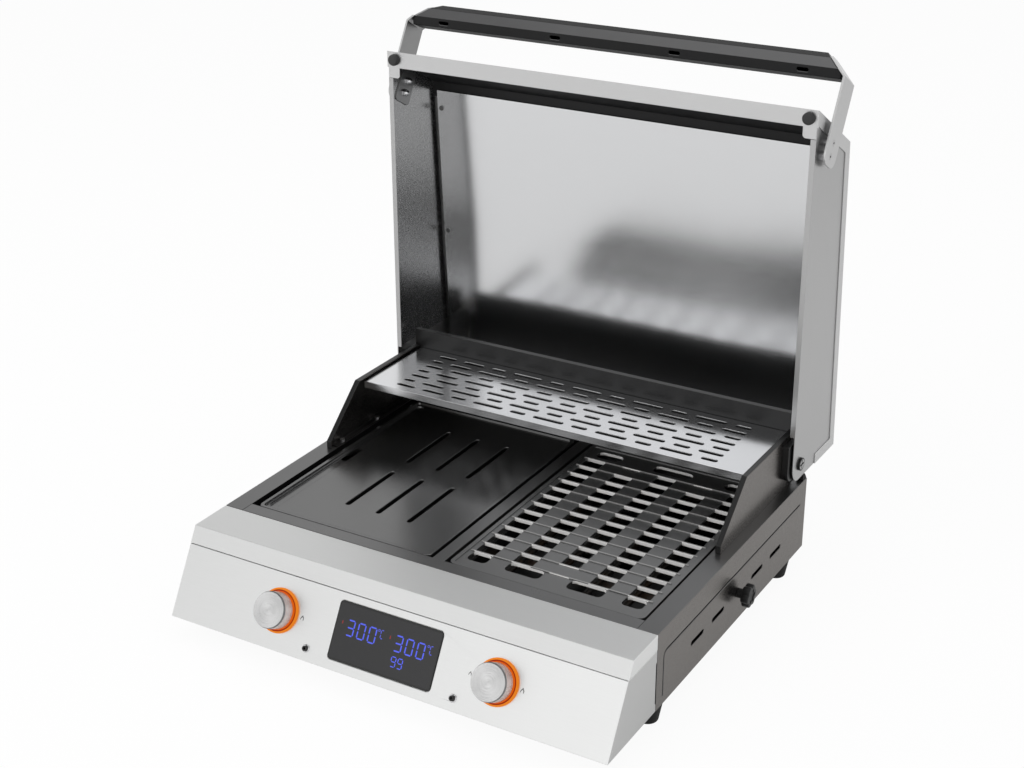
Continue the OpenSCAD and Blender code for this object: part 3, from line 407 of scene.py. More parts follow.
def grate_coat(name, colour, rough, index):
    """The plates' coat on the grate, with a painted highlight in near white on the walls that face the
    front and a painted lighter grey on the ridge tops.
    """
    low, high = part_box("grill_grate")
    middle = (low + high) / 2
    half = (high - low) / 2
    f = Finish(name)
    at = f.place()
    x, y, z = f.parts(at)
    fleck = f.noise(at, 1700, 2)
    cast = f.noise(at, 420, 3)
    inside = ((half.x - abs(x - middle.x)).ramp(*RIM_WIDE)
              * (half.y - abs(y - middle.y)).ramp(*RIM_WIDE))
    depth = high.z - z
    below = depth.ramp(RIDGE_RISE - 0.1 * MM, RIDGE_RISE + 0.1 * MM)
    shallow = 1 - depth.ramp(WALL_DEPTH, WALL_DEPTH + 0.2 * MM)
    column = (x - middle.x).pingpong(half.x / RIDGE_COLUMNS)
    opening = 1 - column.ramp(OPENING_HALF - 0.3 * MM, OPENING_HALF + 0.1 * MM)
    # Painted highlight: the opening walls that face the front take a near white colour.
    wall = inside * shallow * (0 - f.facing()[1]).ramp(0.5, 0.7) * below.most(opening)
    # Painted highlight: the ridge tops take a lighter grey.
    painted_ridge_highlight = inside * (z - high.z).ramp(-0.6 * MM, -0.2 * MM)
    coat = f.mix(painted_ridge_highlight, f.tint(colour, fleck, 0.5, 1.8), shade(PAINTED_HIGHLIGHT_GREY, 0.2))
    return f.surface({
        "Base Color": f.mix(wall, coat, PAINTED_HIGHLIGHT_GREY),
        "Roughness": rough + 0.12 * (fleck - 0.5) + 0.15 * wall,
        "IOR": index,
        "Normal": f.bump(cast + 0.5 * fleck, 0.10, 0.0003),
    })


# Steel and other metal

BRUSH_ACROSS = 2600.0
BRUSH_ALONG = 45.0
ALONG_X = 0
ALONG_Z = 2
DISH_TOP = 340 * MM
DISH_SIDE = 127 * MM
DISH_LOW_CURVE = 0.4
DISH_SIDE_CURVE = 0.32
TURNING_LINES = 1700.0
CHAMFER_IN = 0.9
CHAMFER_DOWN = 2.5
# Turn of the painted sheen on the knob faces
PAINTED_SHEEN_TURN = 2.4
# Radii of the painted shade round the hinge screws' heads
HINGE_RIM_SHADE = (6.1 * MM, 6.4 * MM)
CROSS_DEPTH = (0.3 * MM, 0.6 * MM)
NUT_PLATE = 1.6 * MM


def brushed(f, colour, rough, along, plain=None, painted_plain_shade=1.0, dish=None):
    """Steel with fine brushing along one axis and faint cloudy marks.

    The faces in the plain mask have no streaks and a painted shade of their own, and a dish tilts the
    sheet.
    """
    stretch = [BRUSH_ACROSS] * 3
    stretch[along] = BRUSH_ALONG
    streak = f.noise(f.place(scale=stretch), 1.0, 3)
    cloud = f.noise(f.place(), 9, 3)
    sheet = f.tint(colour, streak, 0.955, 1.035)
    if plain is not None:
        sheet = f.mix(plain, sheet, shade(colour, painted_plain_shade))
    if dish is not None:
        normal = f.bump(dish + 0.00001 * streak, 1.0, 1.0)
    else:
        normal = f.bump(streak, 0.10, 0.0001)
    return f.surface({
        "Base Color": sheet,
        "Metallic": 1.0,
        "Roughness": rough + 0.10 * (streak - 0.5) + 0.07 * (cloud - 0.5),
        "Normal": normal,
    })


def brushed_steel(name, colour, rough, along, side=1.0):
    """Brushed steel sheet whose side faces are plain and take a painted shade, by the side factor, where
    that is below one.
    """
    f = Finish(name)
    return brushed(f, colour, rough, along, f.sideways(), side)


def liner_steel(name, colour, rough):
    """The liner's steel, brushed across; its sheet is a little dished towards the hinge and the sides."""
    f = Finish(name)
    x, _, z = f.parts(f.place())
    low = (DISH_TOP - z).most(0)
    aside = (abs(x) - DISH_SIDE).most(0)
    dish = DISH_LOW_CURVE * low * low + DISH_SIDE_CURVE * aside * aside
    return brushed(f, colour, rough, ALONG_X, dish=dish)


def arm_steel(name, colour, rough):
    """Brushed steel of the handle's arms, with a painted shade at half the colour and no streaks on the
    faces that look at each other.
    """
    f = Finish(name)
    # Painted shade: the faces that look at the other arm take half the colour.
    painted_inward_shade = (0 - f.parts(f.place())[0] * f.facing()[0]).ramp(0.12, 0.2)
    return brushed(f, colour, rough, ALONG_Z, painted_inward_shade, 0.5)


def turned_metal(name, colour, rough, centre, spin):
    """Turned aluminium: fine rings round the axis, a painted sheen that runs lighter and darker by angle
    on the face, and a painted shade on the chamfer.
    """
    top = sizes().knob_height
    rim = sizes().knob_radius
    f = Finish(name)
    x, y, z = f.parts(f.place(centre, spin))
    radius = radius_of(x, y)
    line = f.add("ShaderNodeCombineXYZ", inputs={0: radius * TURNING_LINES, 1: z * TURNING_LINES})
    rings = f.noise(line, 1.0, 2)
    face = z.ramp(top - 0.4 * MM, top - 0.3 * MM)
    # Painted sheen: the face's colour runs lighter and darker by the angle round the axis.
    painted_sheen = 0.5 + 0.5 * face * (2 * y.angle(x) - PAINTED_SHEEN_TURN).sine()
    # Painted shade: the chamfer round the face takes a dark copy of the colour.
    outer = (radius - rim).ramp(-(CHAMFER_IN + 0.1) * MM, -CHAMFER_IN * MM)
    painted_chamfer_shade = outer * (z - top).ramp(-CHAMFER_DOWN * MM, -(CHAMFER_DOWN - 0.2) * MM)
    return f.surface({
        "Base Color": f.mix(painted_chamfer_shade, f.tint(colour, painted_sheen, 0.93, 1.07), shade(colour, 0.3)),
        "Metallic": 1.0,
        "Roughness": rough + 0.08 * (rings - 0.5),
        "Normal": f.bump(rings, 1.0, 0.0005),
    })


def plating(f, rough):
    """Small changes over a plated surface: their pattern, and the roughness that they give."""
    cloud = f.noise(f.place(), 350, 2)
    return cloud, rough + 0.10 * (cloud - 0.5)


def chrome(name, colour, rough):
    """Plated fasteners with small changes of gloss."""
    f = Finish(name)
    cloud, gloss = plating(f, rough)
    return f.surface({
        "Base Color": f.tint(colour, cloud, 0.9, 1.05),
        "Metallic": 1.0,
        "Roughness": gloss,
    })


def cross_screw(name, colour, rough):
    """The hinge screws: plated heads with a painted shade round the rim and in the cross sunk into them.
    """
    centre = joint_place("lid_hinge")[0]
    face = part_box("hinge_pins")[1].x
    f = Finish(name)
    x, y, z = f.parts(f.place((0, centre.y, centre.z)))
    # Painted shade: the sunk cross takes a nearly black copy of the colour.
    painted_cross_shade = (face - abs(x)).ramp(*CROSS_DEPTH)
    # Painted shade: the rim round the head takes the same dark copy.
    rim = radius_of(y, z).ramp(*HINGE_RIM_SHADE)
    return f.surface({
        "Base Color": f.mix(painted_cross_shade.most(rim), colour, shade(colour, 0.06)),
        "Metallic": 1.0,
        "Roughness": plating(f, rough)[1],
    })


def nut_plate(name, colour, rough, dark):
    """Plated nuts on a dark backing plate."""
    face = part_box("arm_nuts")[1].x - NUT_PLATE
    f = Finish(name)
    plate = abs(f.parts(f.place())[0]).ramp(face, face + 0.1 * MM)
    return f.surface({
        "Base Color": f.mix(plate, colour, dark),
        "Metallic": 1.0,
        "Roughness": plating(f, rough)[1] + 0.25 * plate,
    })


def heater(name, colour, rough):
    """Heater steel: dull metal, browned in patches by the heat."""
    f = Finish(name)
    at = f.place()
    patch = f.noise(at, 60, 4)
    fine = f.noise(at, 1200, 2)
    brown = [colour[0] * 1.2, colour[1] * 0.85, colour[2] * 0.62]
    return f.surface({
        "Base Color": f.mix(patch.ramp(0.4, 0.65), colour, brown),
        "Metallic": 0.85,
        "Roughness": rough + 0.2 * (patch - 0.5) + 0.06 * (fine - 0.5),
        "Normal": f.bump(fine, 0.08, 0.0002),
    })


# Plastics, lights and marks

TRACKS_X = 900.0
TRACKS_YZ = 700.0
WINDOW_BORDER = (-1.7 * MM, -1.3 * MM)
RING_GROOVE_OUT = 2.4
RING_GROOVE_IN = 3.4
RING_RED = (0.30, 0.008, 0.001)
RING_ORANGE = (0.90, 0.16, 0.006)


def moulded(name, colour, rough):
    """Moulded rubber, plastic or ceramic with a fine matt texture."""
    f = Finish(name)
    at = f.place()
    grain = f.noise(at, 2200, 2)
    cloud = f.noise(at, 40, 2)
    return f.surface({
        "Base Color": f.tint(colour, cloud, 0.8, 1.25),
        "Roughness": rough + 0.15 * (grain - 0.5),
        "Specular IOR Level": 0.3,
        "Normal": f.bump(grain, 0.12, 0.0002),
    })


def circuit_board(name, colour, rough):
    """Solder mask with slightly raised tracks."""
    f = Finish(name)
    x, y, z = f.parts(f.place())
    tracks = (x * TRACKS_X).sine() * ((y - z) * TRACKS_YZ).sine()
    edge = tracks.ramp(0.35, 0.5)
    return f.surface({
        "Base Color": f.mix(edge, colour, shade(colour, 1.8)),
        "Roughness": rough + 0.1 * edge,
        "Normal": f.bump(edge, 0.2, 0.0001),
    })


def window_glass(name, colour, half_x, half_y):
    """Dark display glass with a printed black border."""
    f = Finish(name)
    x, y, _ = f.parts(f.place(PANEL_MIDDLE, on_panel(0, 0).to_euler()))
    edge = (abs(x) - half_x).most(abs(y) - half_y)
    border = edge.ramp(*WINDOW_BORDER)
    smear = f.noise(f.place(), 30, 3)
    return f.surface({
        "Base Color": f.mix(border, colour, (0.002, 0.002, 0.002)),
        "Roughness": 0.07 + 0.05 * smear + 0.22 * border,
        "Coat Weight": 0.25,
        "Coat Roughness": 0.05,
    })


def ring_light(name, glow, centre, spin):
    """Glowing ring: bright at the gap round the knob, a red groove, then the ring's own orange."""
    rim = sizes().ring_radius
    f = Finish(name)
    x, y, _ = f.parts(f.place(centre, spin))
    radius = radius_of(x, y) - rim
    out = radius.ramp(-RING_GROOVE_OUT * MM, (0.4 - RING_GROOVE_OUT) * MM)
    near = 1 - radius.ramp(-(RING_GROOVE_IN + 0.4) * MM, -RING_GROOVE_IN * MM)
    return f.surface({
        "Base Color": f.mix(out, (0.14, 0.008, 0.001), (0.25, 0.07, 0.005)),
        "Roughness": 0.45,
        "Specular IOR Level": 0.15,
        "Emission Color": f.mix(out, f.mix(near, RING_RED, RING_ORANGE), glow),
        "Emission Strength": 0.66,
    })


def lit_mark(name, glow, strength):
    """A lit segment of the display, a little uneven along its length."""
    f = Finish(name)
    level = f.noise(f.place(), 260, 2)
    return f.surface({
        "Base Color": (0.004, 0.004, 0.006),
        "Roughness": 0.2,
        "Emission Color": f.tint(glow, level, 0.8, 1.15),
        "Emission Strength": strength,
    })


def printed_mark(name, colour):
    """Ink on the panel."""
    f = Finish(name)
    ink = f.noise(f.place(), 1500, 2)
    return f.surface({"Base Color": f.tint(colour, ink, 0.8, 1.3), "Roughness": 0.5})


# Shared ways of making pieces

SAME_PLACE = 1e-6
SPIN_MERGE = 1e-7
FLAT_ANGLE = radians(0.4)
LARGE_FACE = 20 * MM * MM


def dress(names, material, edge=0.0, angle=35):
    """Gives CAD nodes a finish, and softens their edges where an edge radius is given."""
    for name in names:
        node = frame["nodes"][name]
        for slot in node.material_slots:
            slot.material = material
        if edge:
            weld = node.modifiers.new("Join the faces", "WELD")
            weld.merge_threshold = SAME_PLACE
            flat = node.modifiers.new("Join flat faces", "DECIMATE")
            flat.decimate_type = "DISSOLVE"
            flat.angle_limit = FLAT_ANGLE
            soft = node.modifiers.new("Soften the edges", "BEVEL")
            soft.width = edge
            soft.segments = 2
            soft.limit_method = "ANGLE"
            soft.angle_limit = radians(angle)
            soft.use_clamp_overlap = False
            soft.miter_outer = "MITER_ARC"


def crisp(name):
    """Shades a CAD node's large faces flat and only rounds the small ones along its edges."""
    group = bpy.data.node_groups.new("crisp_faces", "GeometryNodeTree")
    for way in ("INPUT", "OUTPUT"):
        group.interface.new_socket("Geometry", in_out=way, socket_type="NodeSocketGeometry")
    nodes = Nodes(group)
    large = nodes.add("FunctionNodeCompare", {"operation": "GREATER_THAN"},
                      {0: nodes.add("GeometryNodeInputMeshFaceArea"), 1: LARGE_FACE})
    mesh = nodes.add("GeometryNodeSetMeshNormal", {"mode": "SHARPNESS"}, {
        "Mesh": nodes.add("NodeGroupInput"), "Remove Custom": True, "Face Sharpness": large})
    nodes.add("NodeGroupOutput", inputs={0: mesh}, out=None)
    frame["nodes"][name].modifiers.new("Crisp faces", "NODES").node_group = group


def piece(name, bm, material, body, replaced=(), smooth=35):
    """Makes a bmesh into an object that rides on a body."""
    if not bm.faces:
        raise RuntimeError(f"{name} has no faces")
    mesh = bpy.data.meshes.new(name)
    bm.to_mesh(mesh)
    bm.free()
    mesh.shade_smooth()
    mesh.set_sharp_from_angle(angle=radians(smooth))
    mesh.materials.append(material)
    obj = bpy.data.objects.new(name, mesh)
    bpy.context.scene.collection.objects.link(obj)
    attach(obj, body)
    if replaced:
        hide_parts(*replaced)
    return obj


def settle(bm, place):
    """Turns the faces that are new in a bmesh outwards and moves them to a place."""
    fresh = [v for v in bm.verts if not v.tag]
    faces = list({f for v in fresh for f in v.link_faces})
    bmesh.ops.recalc_face_normals(bm, faces=faces)
    bmesh.ops.transform(bm, matrix=place, verts=fresh)
    for v in fresh:
        v.tag = True


def turned(bm, profile, place, steps):
    """Spins a profile of (radius, height) points, in millimetres, round the Z of a place."""
    ring = [bm.verts.new((r * MM, 0, h * MM)) for r, h in profile]
    edges = [bm.edges.new(pair) for pair in zip(ring, ring[1:])]
    if profile[0][0] > 0 and profile[-1][0] > 0:
        edges.append(bm.edges.new((ring[-1], ring[0])))
    bmesh.ops.spin(bm, geom=ring + edges, cent=(0, 0, 0), axis=(0, 0, 1), angle=2 * pi,
                   steps=steps, use_merge=True)
    fresh = [v for v in bm.verts if not v.tag]
    bmesh.ops.remove_doubles(bm, verts=fresh, dist=SPIN_MERGE)
    settle(bm, place)


def raise_face(bm, faces, height, keep=False):
    """Extrudes flat faces upwards, over the faces themselves where these are kept."""
    raised = bmesh.ops.extrude_face_region(bm, geom=faces, use_keep_orig=keep)["geom"]
    top = [v for v in raised if isinstance(v, bmesh.types.BMVert)]
    bmesh.ops.translate(bm, vec=(0, 0, height), verts=top)


def flat_bar(bm, points, place, thick):
    """A flat outline, in millimetres, raised by a thickness from a place."""
    face = bm.faces.new([bm.verts.new((x * MM, y * MM, 0)) for x, y in points])
    raise_face(bm, [face], thick)
    settle(bm, place)


# Stage

FLOOR_REACH = 14.0
FLOOR_GREY = 0.92
FLOOR_SHOWN = 0.94
FLOOR_MIRRORED = 0.5
FLOOR_DIMMED = 0.25
CAMERA_AT = (0.91879, -1.566087, 1.0726)
CAMERA_RIGHT = (0.86235, 0.50630, -0.00278)
CAMERA_DOWN = (0.20372, -0.35199, -0.91356)
CAMERA_LENS = 61.06
CAMERA_SENSOR = 36
LIGHT_TARGET = Vector((0, 0, 0.25))
KEY_PLACE = Vector((-1.5, -2.6, 2.2))
KEY_SIZE = 4.0
KEY_POWER = 80
TOP_PLACE = Vector((0.3, 0.2, 3.2))
TOP_SIZE = 3.0
TOP_POWER = 25
ROOM_LIGHT = 0.5
DARK_CEILING = 0.8
DARK_LEFT = 0.30
FRONT_GLOW = 0.15
CEILING_UP = (0.58, 0.85)
LEFT_ACROSS = (0.38, 0.66)
FRONT_AHEAD = (0.3, 0.6)
STRIP_LEFT = (-0.5, -0.3)
STRIP_RIGHT = (-0.22, -0.05)


class GRILL_OT_stage(bpy.types.Operator):
    """Set up the camera, the floor and the soft studio light"""

    bl_idname = "grill.stage"
    bl_label = "Stage"

    def execute(self, context):
        self.camera()
        self.world()
        self.floor()
        key = self.soft_box("key_light", KEY_PLACE, KEY_SIZE, KEY_POWER)
        key.visible_glossy = False
        self.soft_box("top_light", TOP_PLACE, TOP_SIZE, TOP_POWER)
        return {"FINISHED"}

    def camera(self):
        """Stands where the photograph was taken from."""
        data = bpy.data.cameras.new("photo_camera")
        data.lens = CAMERA_LENS
        data.sensor_width = CAMERA_SENSOR
        data.sensor_fit = "HORIZONTAL"
        camera = bpy.data.objects.new("photo_camera", data)
        bpy.context.scene.collection.objects.link(camera)
        right = Vector(CAMERA_RIGHT).normalized()
        up = -Vector(CAMERA_DOWN)
        back = right.cross(up).normalized()
        camera.matrix_world = axes(Vector(CAMERA_AT), right, back.cross(right), back)
        bpy.context.scene.camera = camera

    def seen(self, nodes):
        """1 for rays from the camera, and 1 for rays from reflections and through glass."""
        path = nodes.add("ShaderNodeLightPath")
        outputs = path.socket.node.outputs
        camera, glossy, clear = [Wire(nodes, outputs[name]) for name in (
            "Is Camera Ray", "Is Glossy Ray", "Is Transmission Ray")]
        return camera, glossy.most(clear)

    def world(self):
        """White for the camera; reflections show a darker ceiling and left and a soft strip in front."""
        world = bpy.data.worlds.new("white_room")
        bpy.context.scene.world = world
        world.use_nodes = True
        nodes = Nodes(world.node_tree)
        camera, mirrored = self.seen(nodes)
        across, ahead, up = nodes.parts(nodes.add("ShaderNodeTexCoord"))
        ceiling = up.ramp(*CEILING_UP)
        left = (0 - across).ramp(*LEFT_ACROSS)
        front = (0 - ahead).ramp(*FRONT_AHEAD)
        strip = front * across.ramp(*STRIP_LEFT) * (1 - across.ramp(*STRIP_RIGHT))
        walls = 1 - DARK_CEILING * ceiling - DARK_LEFT * left + FRONT_GLOW * strip
        strength = ROOM_LIGHT + (1 - ROOM_LIGHT) * camera + (walls - ROOM_LIGHT) * mirrored
        light = nodes.add("ShaderNodeBackground", inputs={0: (1, 1, 1, 1), 1: strength})
        output = world.node_tree.nodes.new("ShaderNodeOutputWorld")
        world.node_tree.links.new(light.socket, output.inputs[0])

    def floor(self):
        """Pale and matt, so that it keeps the shadow; near white to the camera and in reflections."""
        bm = bmesh.new()
        bmesh.ops.create_grid(bm, x_segments=1, y_segments=1, size=FLOOR_REACH)
        mesh = bpy.data.meshes.new("floor")
        bm.to_mesh(mesh)
        bm.free()
        floor = bpy.data.objects.new("floor", mesh)
        bpy.context.scene.collection.objects.link(floor)
        f = Finish("pale_floor")
        camera, mirrored = self.seen(f)
        matt = f.add("ShaderNodeBsdfDiffuse", inputs={0: (FLOOR_GREY, FLOOR_GREY, FLOOR_GREY, 1)})
        white = f.add("ShaderNodeEmission", inputs={0: (1, 1, 1, 1), 1: 1 - FLOOR_DIMMED * mirrored})
        glow = (FLOOR_SHOWN * camera).most(FLOOR_MIRRORED * mirrored)
        mesh.materials.append(f.output(f.blend(glow, matt, white)))

    def soft_box(self, name, place, size, power):
        """A square lamp that looks at the grill."""
        data = bpy.data.lights.new(name, "AREA")
        data.size = size
        data.energy = power
        lamp = bpy.data.objects.new(name, data)
        lamp.location = place
        lamp.rotation_euler = (LIGHT_TARGET - place).to_track_quat("-Z", "Y").to_euler()
        bpy.context.scene.collection.objects.link(lamp)
        return lamp


# Finishes of the CAD nodes

GRATE_EDGE = 0.25 * MM
SCREW_EDGE = 0.25 * MM
STOP_EDGE = 0.5 * MM


class GRILL_OT_body(bpy.types.Operator):
    """Give the body, its rims, the guard and the handle their black coat"""

    bl_idname = "grill.body"
    bl_label = "Black body"

    def execute(self, context):
        edge = sizes().sheet_edge
        coat = colours().coat
        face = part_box("side_panel_right")[1].x
        dress(["side_panel_left", "side_panel_right"],
              side_coat("side_coat", coat, index=2.5, fold_index=2.5, face=face), edge)
        dress(["guard_left", "guard_right"],
              side_coat("guard_side_coat", coat, index=2.4, fold_index=1.5), edge)
        dress(["front_rim", "rear_rim", "centre_divider", "rear_panel", "bottom_pan"],
              powder_coat("black_coat", coat, rough=0.30, index=2.55), edge)
        dress(["guard_rear", "shelf_rails", "hinge_brackets"],
              powder_coat("guard_coat", coat, rough=0.36, index=1.5), edge)
        # The handle's coat has a painted light band along its front.
        dress(["handle_bar"], grip_coat("handle_coat", colours().handle), sizes().cast_edge,
              angle=20)
        return {"FINISHED"}


class GRILL_OT_steelwork(bpy.types.Operator):
    """Give the lid, the cap, the control panel and the shelf their steel"""

    bl_idname = "grill.steelwork"
    bl_label = "Steelwork"

    def execute(self, context):
        edge = sizes().sheet_edge
        thin = sizes().thin_edge
        steel = colours().steel
        panel = colours().panel
        liner = colours().liner
        dress(["lid_shell"], brushed_steel("lid_steel", steel, rough=0.33, along=ALONG_X), edge)
        # The lid's sides carry a painted shade in their darker steel.
        dress(["lid_side_left", "lid_side_right"],
              brushed_steel("lid_side_steel", colours().painted_shade_side_steel, rough=0.33, along=ALONG_Z), edge)
        # The arms' inner faces carry a painted shade.
        dress(["handle_arms"], arm_steel("arm_steel", steel, rough=0.36), edge)
        dress(["control_panel"],
              # The panel's side faces take a painted shade at 0.72 of its colour.
              brushed_steel("panel_steel", panel, rough=0.34, along=ALONG_X, side=0.72), 2 * edge)
        crisp("control_panel")
        dress(["front_cap"], brushed_steel("cap_steel", panel, rough=0.50, along=ALONG_X), edge)
        dress(["warming_shelf"],
              brushed_steel("shelf_steel", colours().shelf, rough=0.20, along=ALONG_X), thin)
        dress(["lid_liner"], liner_steel("liner_steel", liner, rough=0.15))
        dress(["drip_tray", "tray_rails", "bulkhead"],
              brushed_steel("tray_steel", liner, rough=0.30, along=ALONG_X), thin)
        dress(["arm_nuts"], nut_plate("nut_steel", liner, rough=0.12, dark=(0.32, 0.32, 0.32)), thin)
        return {"FINISHED"}


class GRILL_OT_plates(bpy.types.Operator):
    """Give the griddle plate, the grate, the fireboxes and the lid's lining their coats"""

    bl_idname = "grill.plates"
    bl_label = "Plates and lining"

    def execute(self, context):
        plate = colours().plate
        dress(["griddle_plate"], plate_coat("griddle_coat", plate, rough=0.22, index=2.45),
              sizes().cast_edge)
        # The grate's coat carries painted highlights on its front walls and ridge tops.
        dress(["grill_grate"], grate_coat("grate_coat", plate, rough=0.36, index=2.9), GRATE_EDGE)
        dress(["lid_lining"], lining_enamel("lining_enamel", (0.006, 0.006, 0.0065)))
        dress(["fireboxes"], enamel("firebox_enamel", (0.006, 0.006, 0.006), rough=0.35, index=1.5))
        return {"FINISHED"}


class GRILL_OT_inside(bpy.types.Operator):
    """Finish the heaters, the electronics and the small hardware"""

    bl_idname = "grill.inside"
    bl_label = "Inside and hardware"

    def execute(self, context):
        thin = sizes().thin_edge
        dress(["heating_element_left", "heating_element_right"],
              heater("heater_tube", (0.05, 0.047, 0.045), rough=0.5))
        dress(["element_supports"], heater("support_steel", (0.10, 0.097, 0.094), rough=0.55))
        dress(["temperature_sensors"], chrome("sensor_steel", (0.3, 0.3, 0.3), rough=0.35))
        dress(["element_terminals"], moulded("terminal_ceramic", (0.78, 0.74, 0.66), rough=0.45))
        dress(["hinge_washers"], moulded("washer_nylon", (0.72, 0.69, 0.62), rough=0.5))
        dress(["display_module", "relays", "encoders"],
              moulded("dark_plastic", (0.03, 0.03, 0.033), rough=0.5), thin)
        dress(["power_inlet"], moulded("inlet_plastic", (0.02, 0.02, 0.021), rough=0.45), thin)
        dress(["display_board", "power_board"],
              circuit_board("solder_mask", (0.012, 0.09, 0.035), rough=0.35))
        dress(["base_screws", "clamp_nuts", "shaft_left", "shaft_right", "arm_spacers"],
              chrome("plated_fastener", (0.62, 0.62, 0.63), rough=0.2))
        dress(["liner_screws"], chrome("liner_screw_steel", (0.22, 0.22, 0.22), rough=0.3))
        # The hinge screws carry a painted shade in their cross and round their rim.
        dress(["hinge_pins"], cross_screw("hinge_screw_steel", (0.48, 0.48, 0.48), rough=0.3), SCREW_EDGE)
        dress(["lid_stops"], moulded("stop_rubber", colours().rubber, rough=0.7), STOP_EDGE)
        return {"FINISHED"}


# Fine pieces; their profiles are (radius, height) points in millimetres

KNOB_FOOT = 5.2
KNOB_WALL = 5
KNOB_HUB_FOOT = 9
KNOB_ROOF = 4
SHAFT_HOLE = 3.05
RING_FOOT = 0.02
RING_TOP = 3
RING_INSIDE = 2.7
RING_GROOVE_FOOT = 2.3
RING_WIDE = 10


class GRILL_OT_knobs(bpy.types.Operator):
    """Turn the two control knobs"""

    bl_idname = "grill.knobs"
    bl_label = "Control knobs"

    def execute(self, context):
        r = sizes().knob_radius / MM
        h = sizes().knob_height / MM
        wall = r - KNOB_WALL
        profile = [(0, h), (r - CHAMFER_IN - 0.15, h), (r - CHAMFER_IN, h - 0.15),
                   (r - 0.06, h - CHAMFER_DOWN + 0.3), (r, h - CHAMFER_DOWN),
                   (r, KNOB_FOOT + 0.4), (r - 0.4, KNOB_FOOT), (wall, KNOB_FOOT), (wall, KNOB_HUB_FOOT),
                   (SHAFT_HOLE, KNOB_HUB_FOOT), (SHAFT_HOLE, h - KNOB_ROOF), (0, h - KNOB_ROOF)]
        for side, centre in KNOBS:
            place = on_panel(centre.x, 0)
            bm = bmesh.new()
            turned(bm, profile, place, steps=96)
            # The knob metal carries a painted sheen and a painted shade on its chamfer.
            metal = turned_metal(f"knob_metal_{side}", colours().knob, 0.26, centre, place.to_euler())
            piece(f"turned_knob_{side}", bm, metal, f"{side}_knob",
                  [f"knob_{side}"], smooth=25)
        return {"FINISHED"}


class GRILL_OT_light_rings(bpy.types.Operator):
    """Turn the glowing rings round the knobs"""

    bl_idname = "grill.light_rings"
    bl_label = "Light rings"

    def execute(self, context):
        r = sizes().ring_radius / MM
        inner = r - RING_WIDE
        groove_out, groove_in = r - RING_GROOVE_OUT, r - RING_GROOVE_IN
        profile = [(inner, RING_FOOT), (r, RING_FOOT), (r, 1.6), (r - 0.15, 2.2), (r - 0.6, 2.75),
                   (r - 1.2, RING_TOP), (groove_out + 0.2, RING_TOP), (groove_out, RING_GROOVE_FOOT),
                   (groove_in, RING_GROOVE_FOOT), (groove_in - 0.2, RING_INSIDE),
                   (inner + 0.3, RING_INSIDE), (inner, RING_INSIDE - 0.3)]
        for side, centre in KNOBS:
            place = on_panel(centre.x, 0)
            bm = bmesh.new()
            turned(bm, profile, place, steps=96)
            glow = ring_light(f"ring_glow_{side}", colours().glow, centre, place.to_euler())
            replaced = ["light_rings"] if side == "left" else []
            piece(f"light_ring_{side}", bm, glow, "base", replaced, smooth=50)
        return {"FINISHED"}


SEGMENTS = {"0": "abcdef", "3": "abgcd", "9": "abcdfg", "C": "adef"}
SEGMENT_GAP = 0.4
GLASS_TOP = 0.4 * MM
GLASS_EDGE = 1.6 * MM
MARK_LIFT = 0.01 * MM
LIT_THICK = 0.05
INK_THICK = 0.04
HEAT_LEFT = (-50.8, 11.2)
HEAT_TOP = 14.7
HEAT_PITCH = 14
HEAT_WIDE = 10
HEAT_STROKE = 1.55
TIME_LEFT = 11.9
TIME_TOP = -8.3
TIME_PITCH = 8.4
TIME_SIZE = (6.8, 11.7)
TIME_STROKE = 1.15
DEGREE_LEFT = (-11.6, 51.1)
DEGREE_MIDDLE = 1.3
DEGREE_UP = 13.2
DEGREE_RING = [(0.75, 0), (1.45, 0), (1.45, LIT_THICK), (0.75, LIT_THICK)]
UNIT_SHIFT = 3.4
UNIT_SIZE = (4.6, 10)
UNIT_STROKE = 1.1
STATUS_X = (-57.3, 4.6)
STATUS_HALF = 0.6
STATUS_LOW = 8
STATUS_HIGH = 11.4


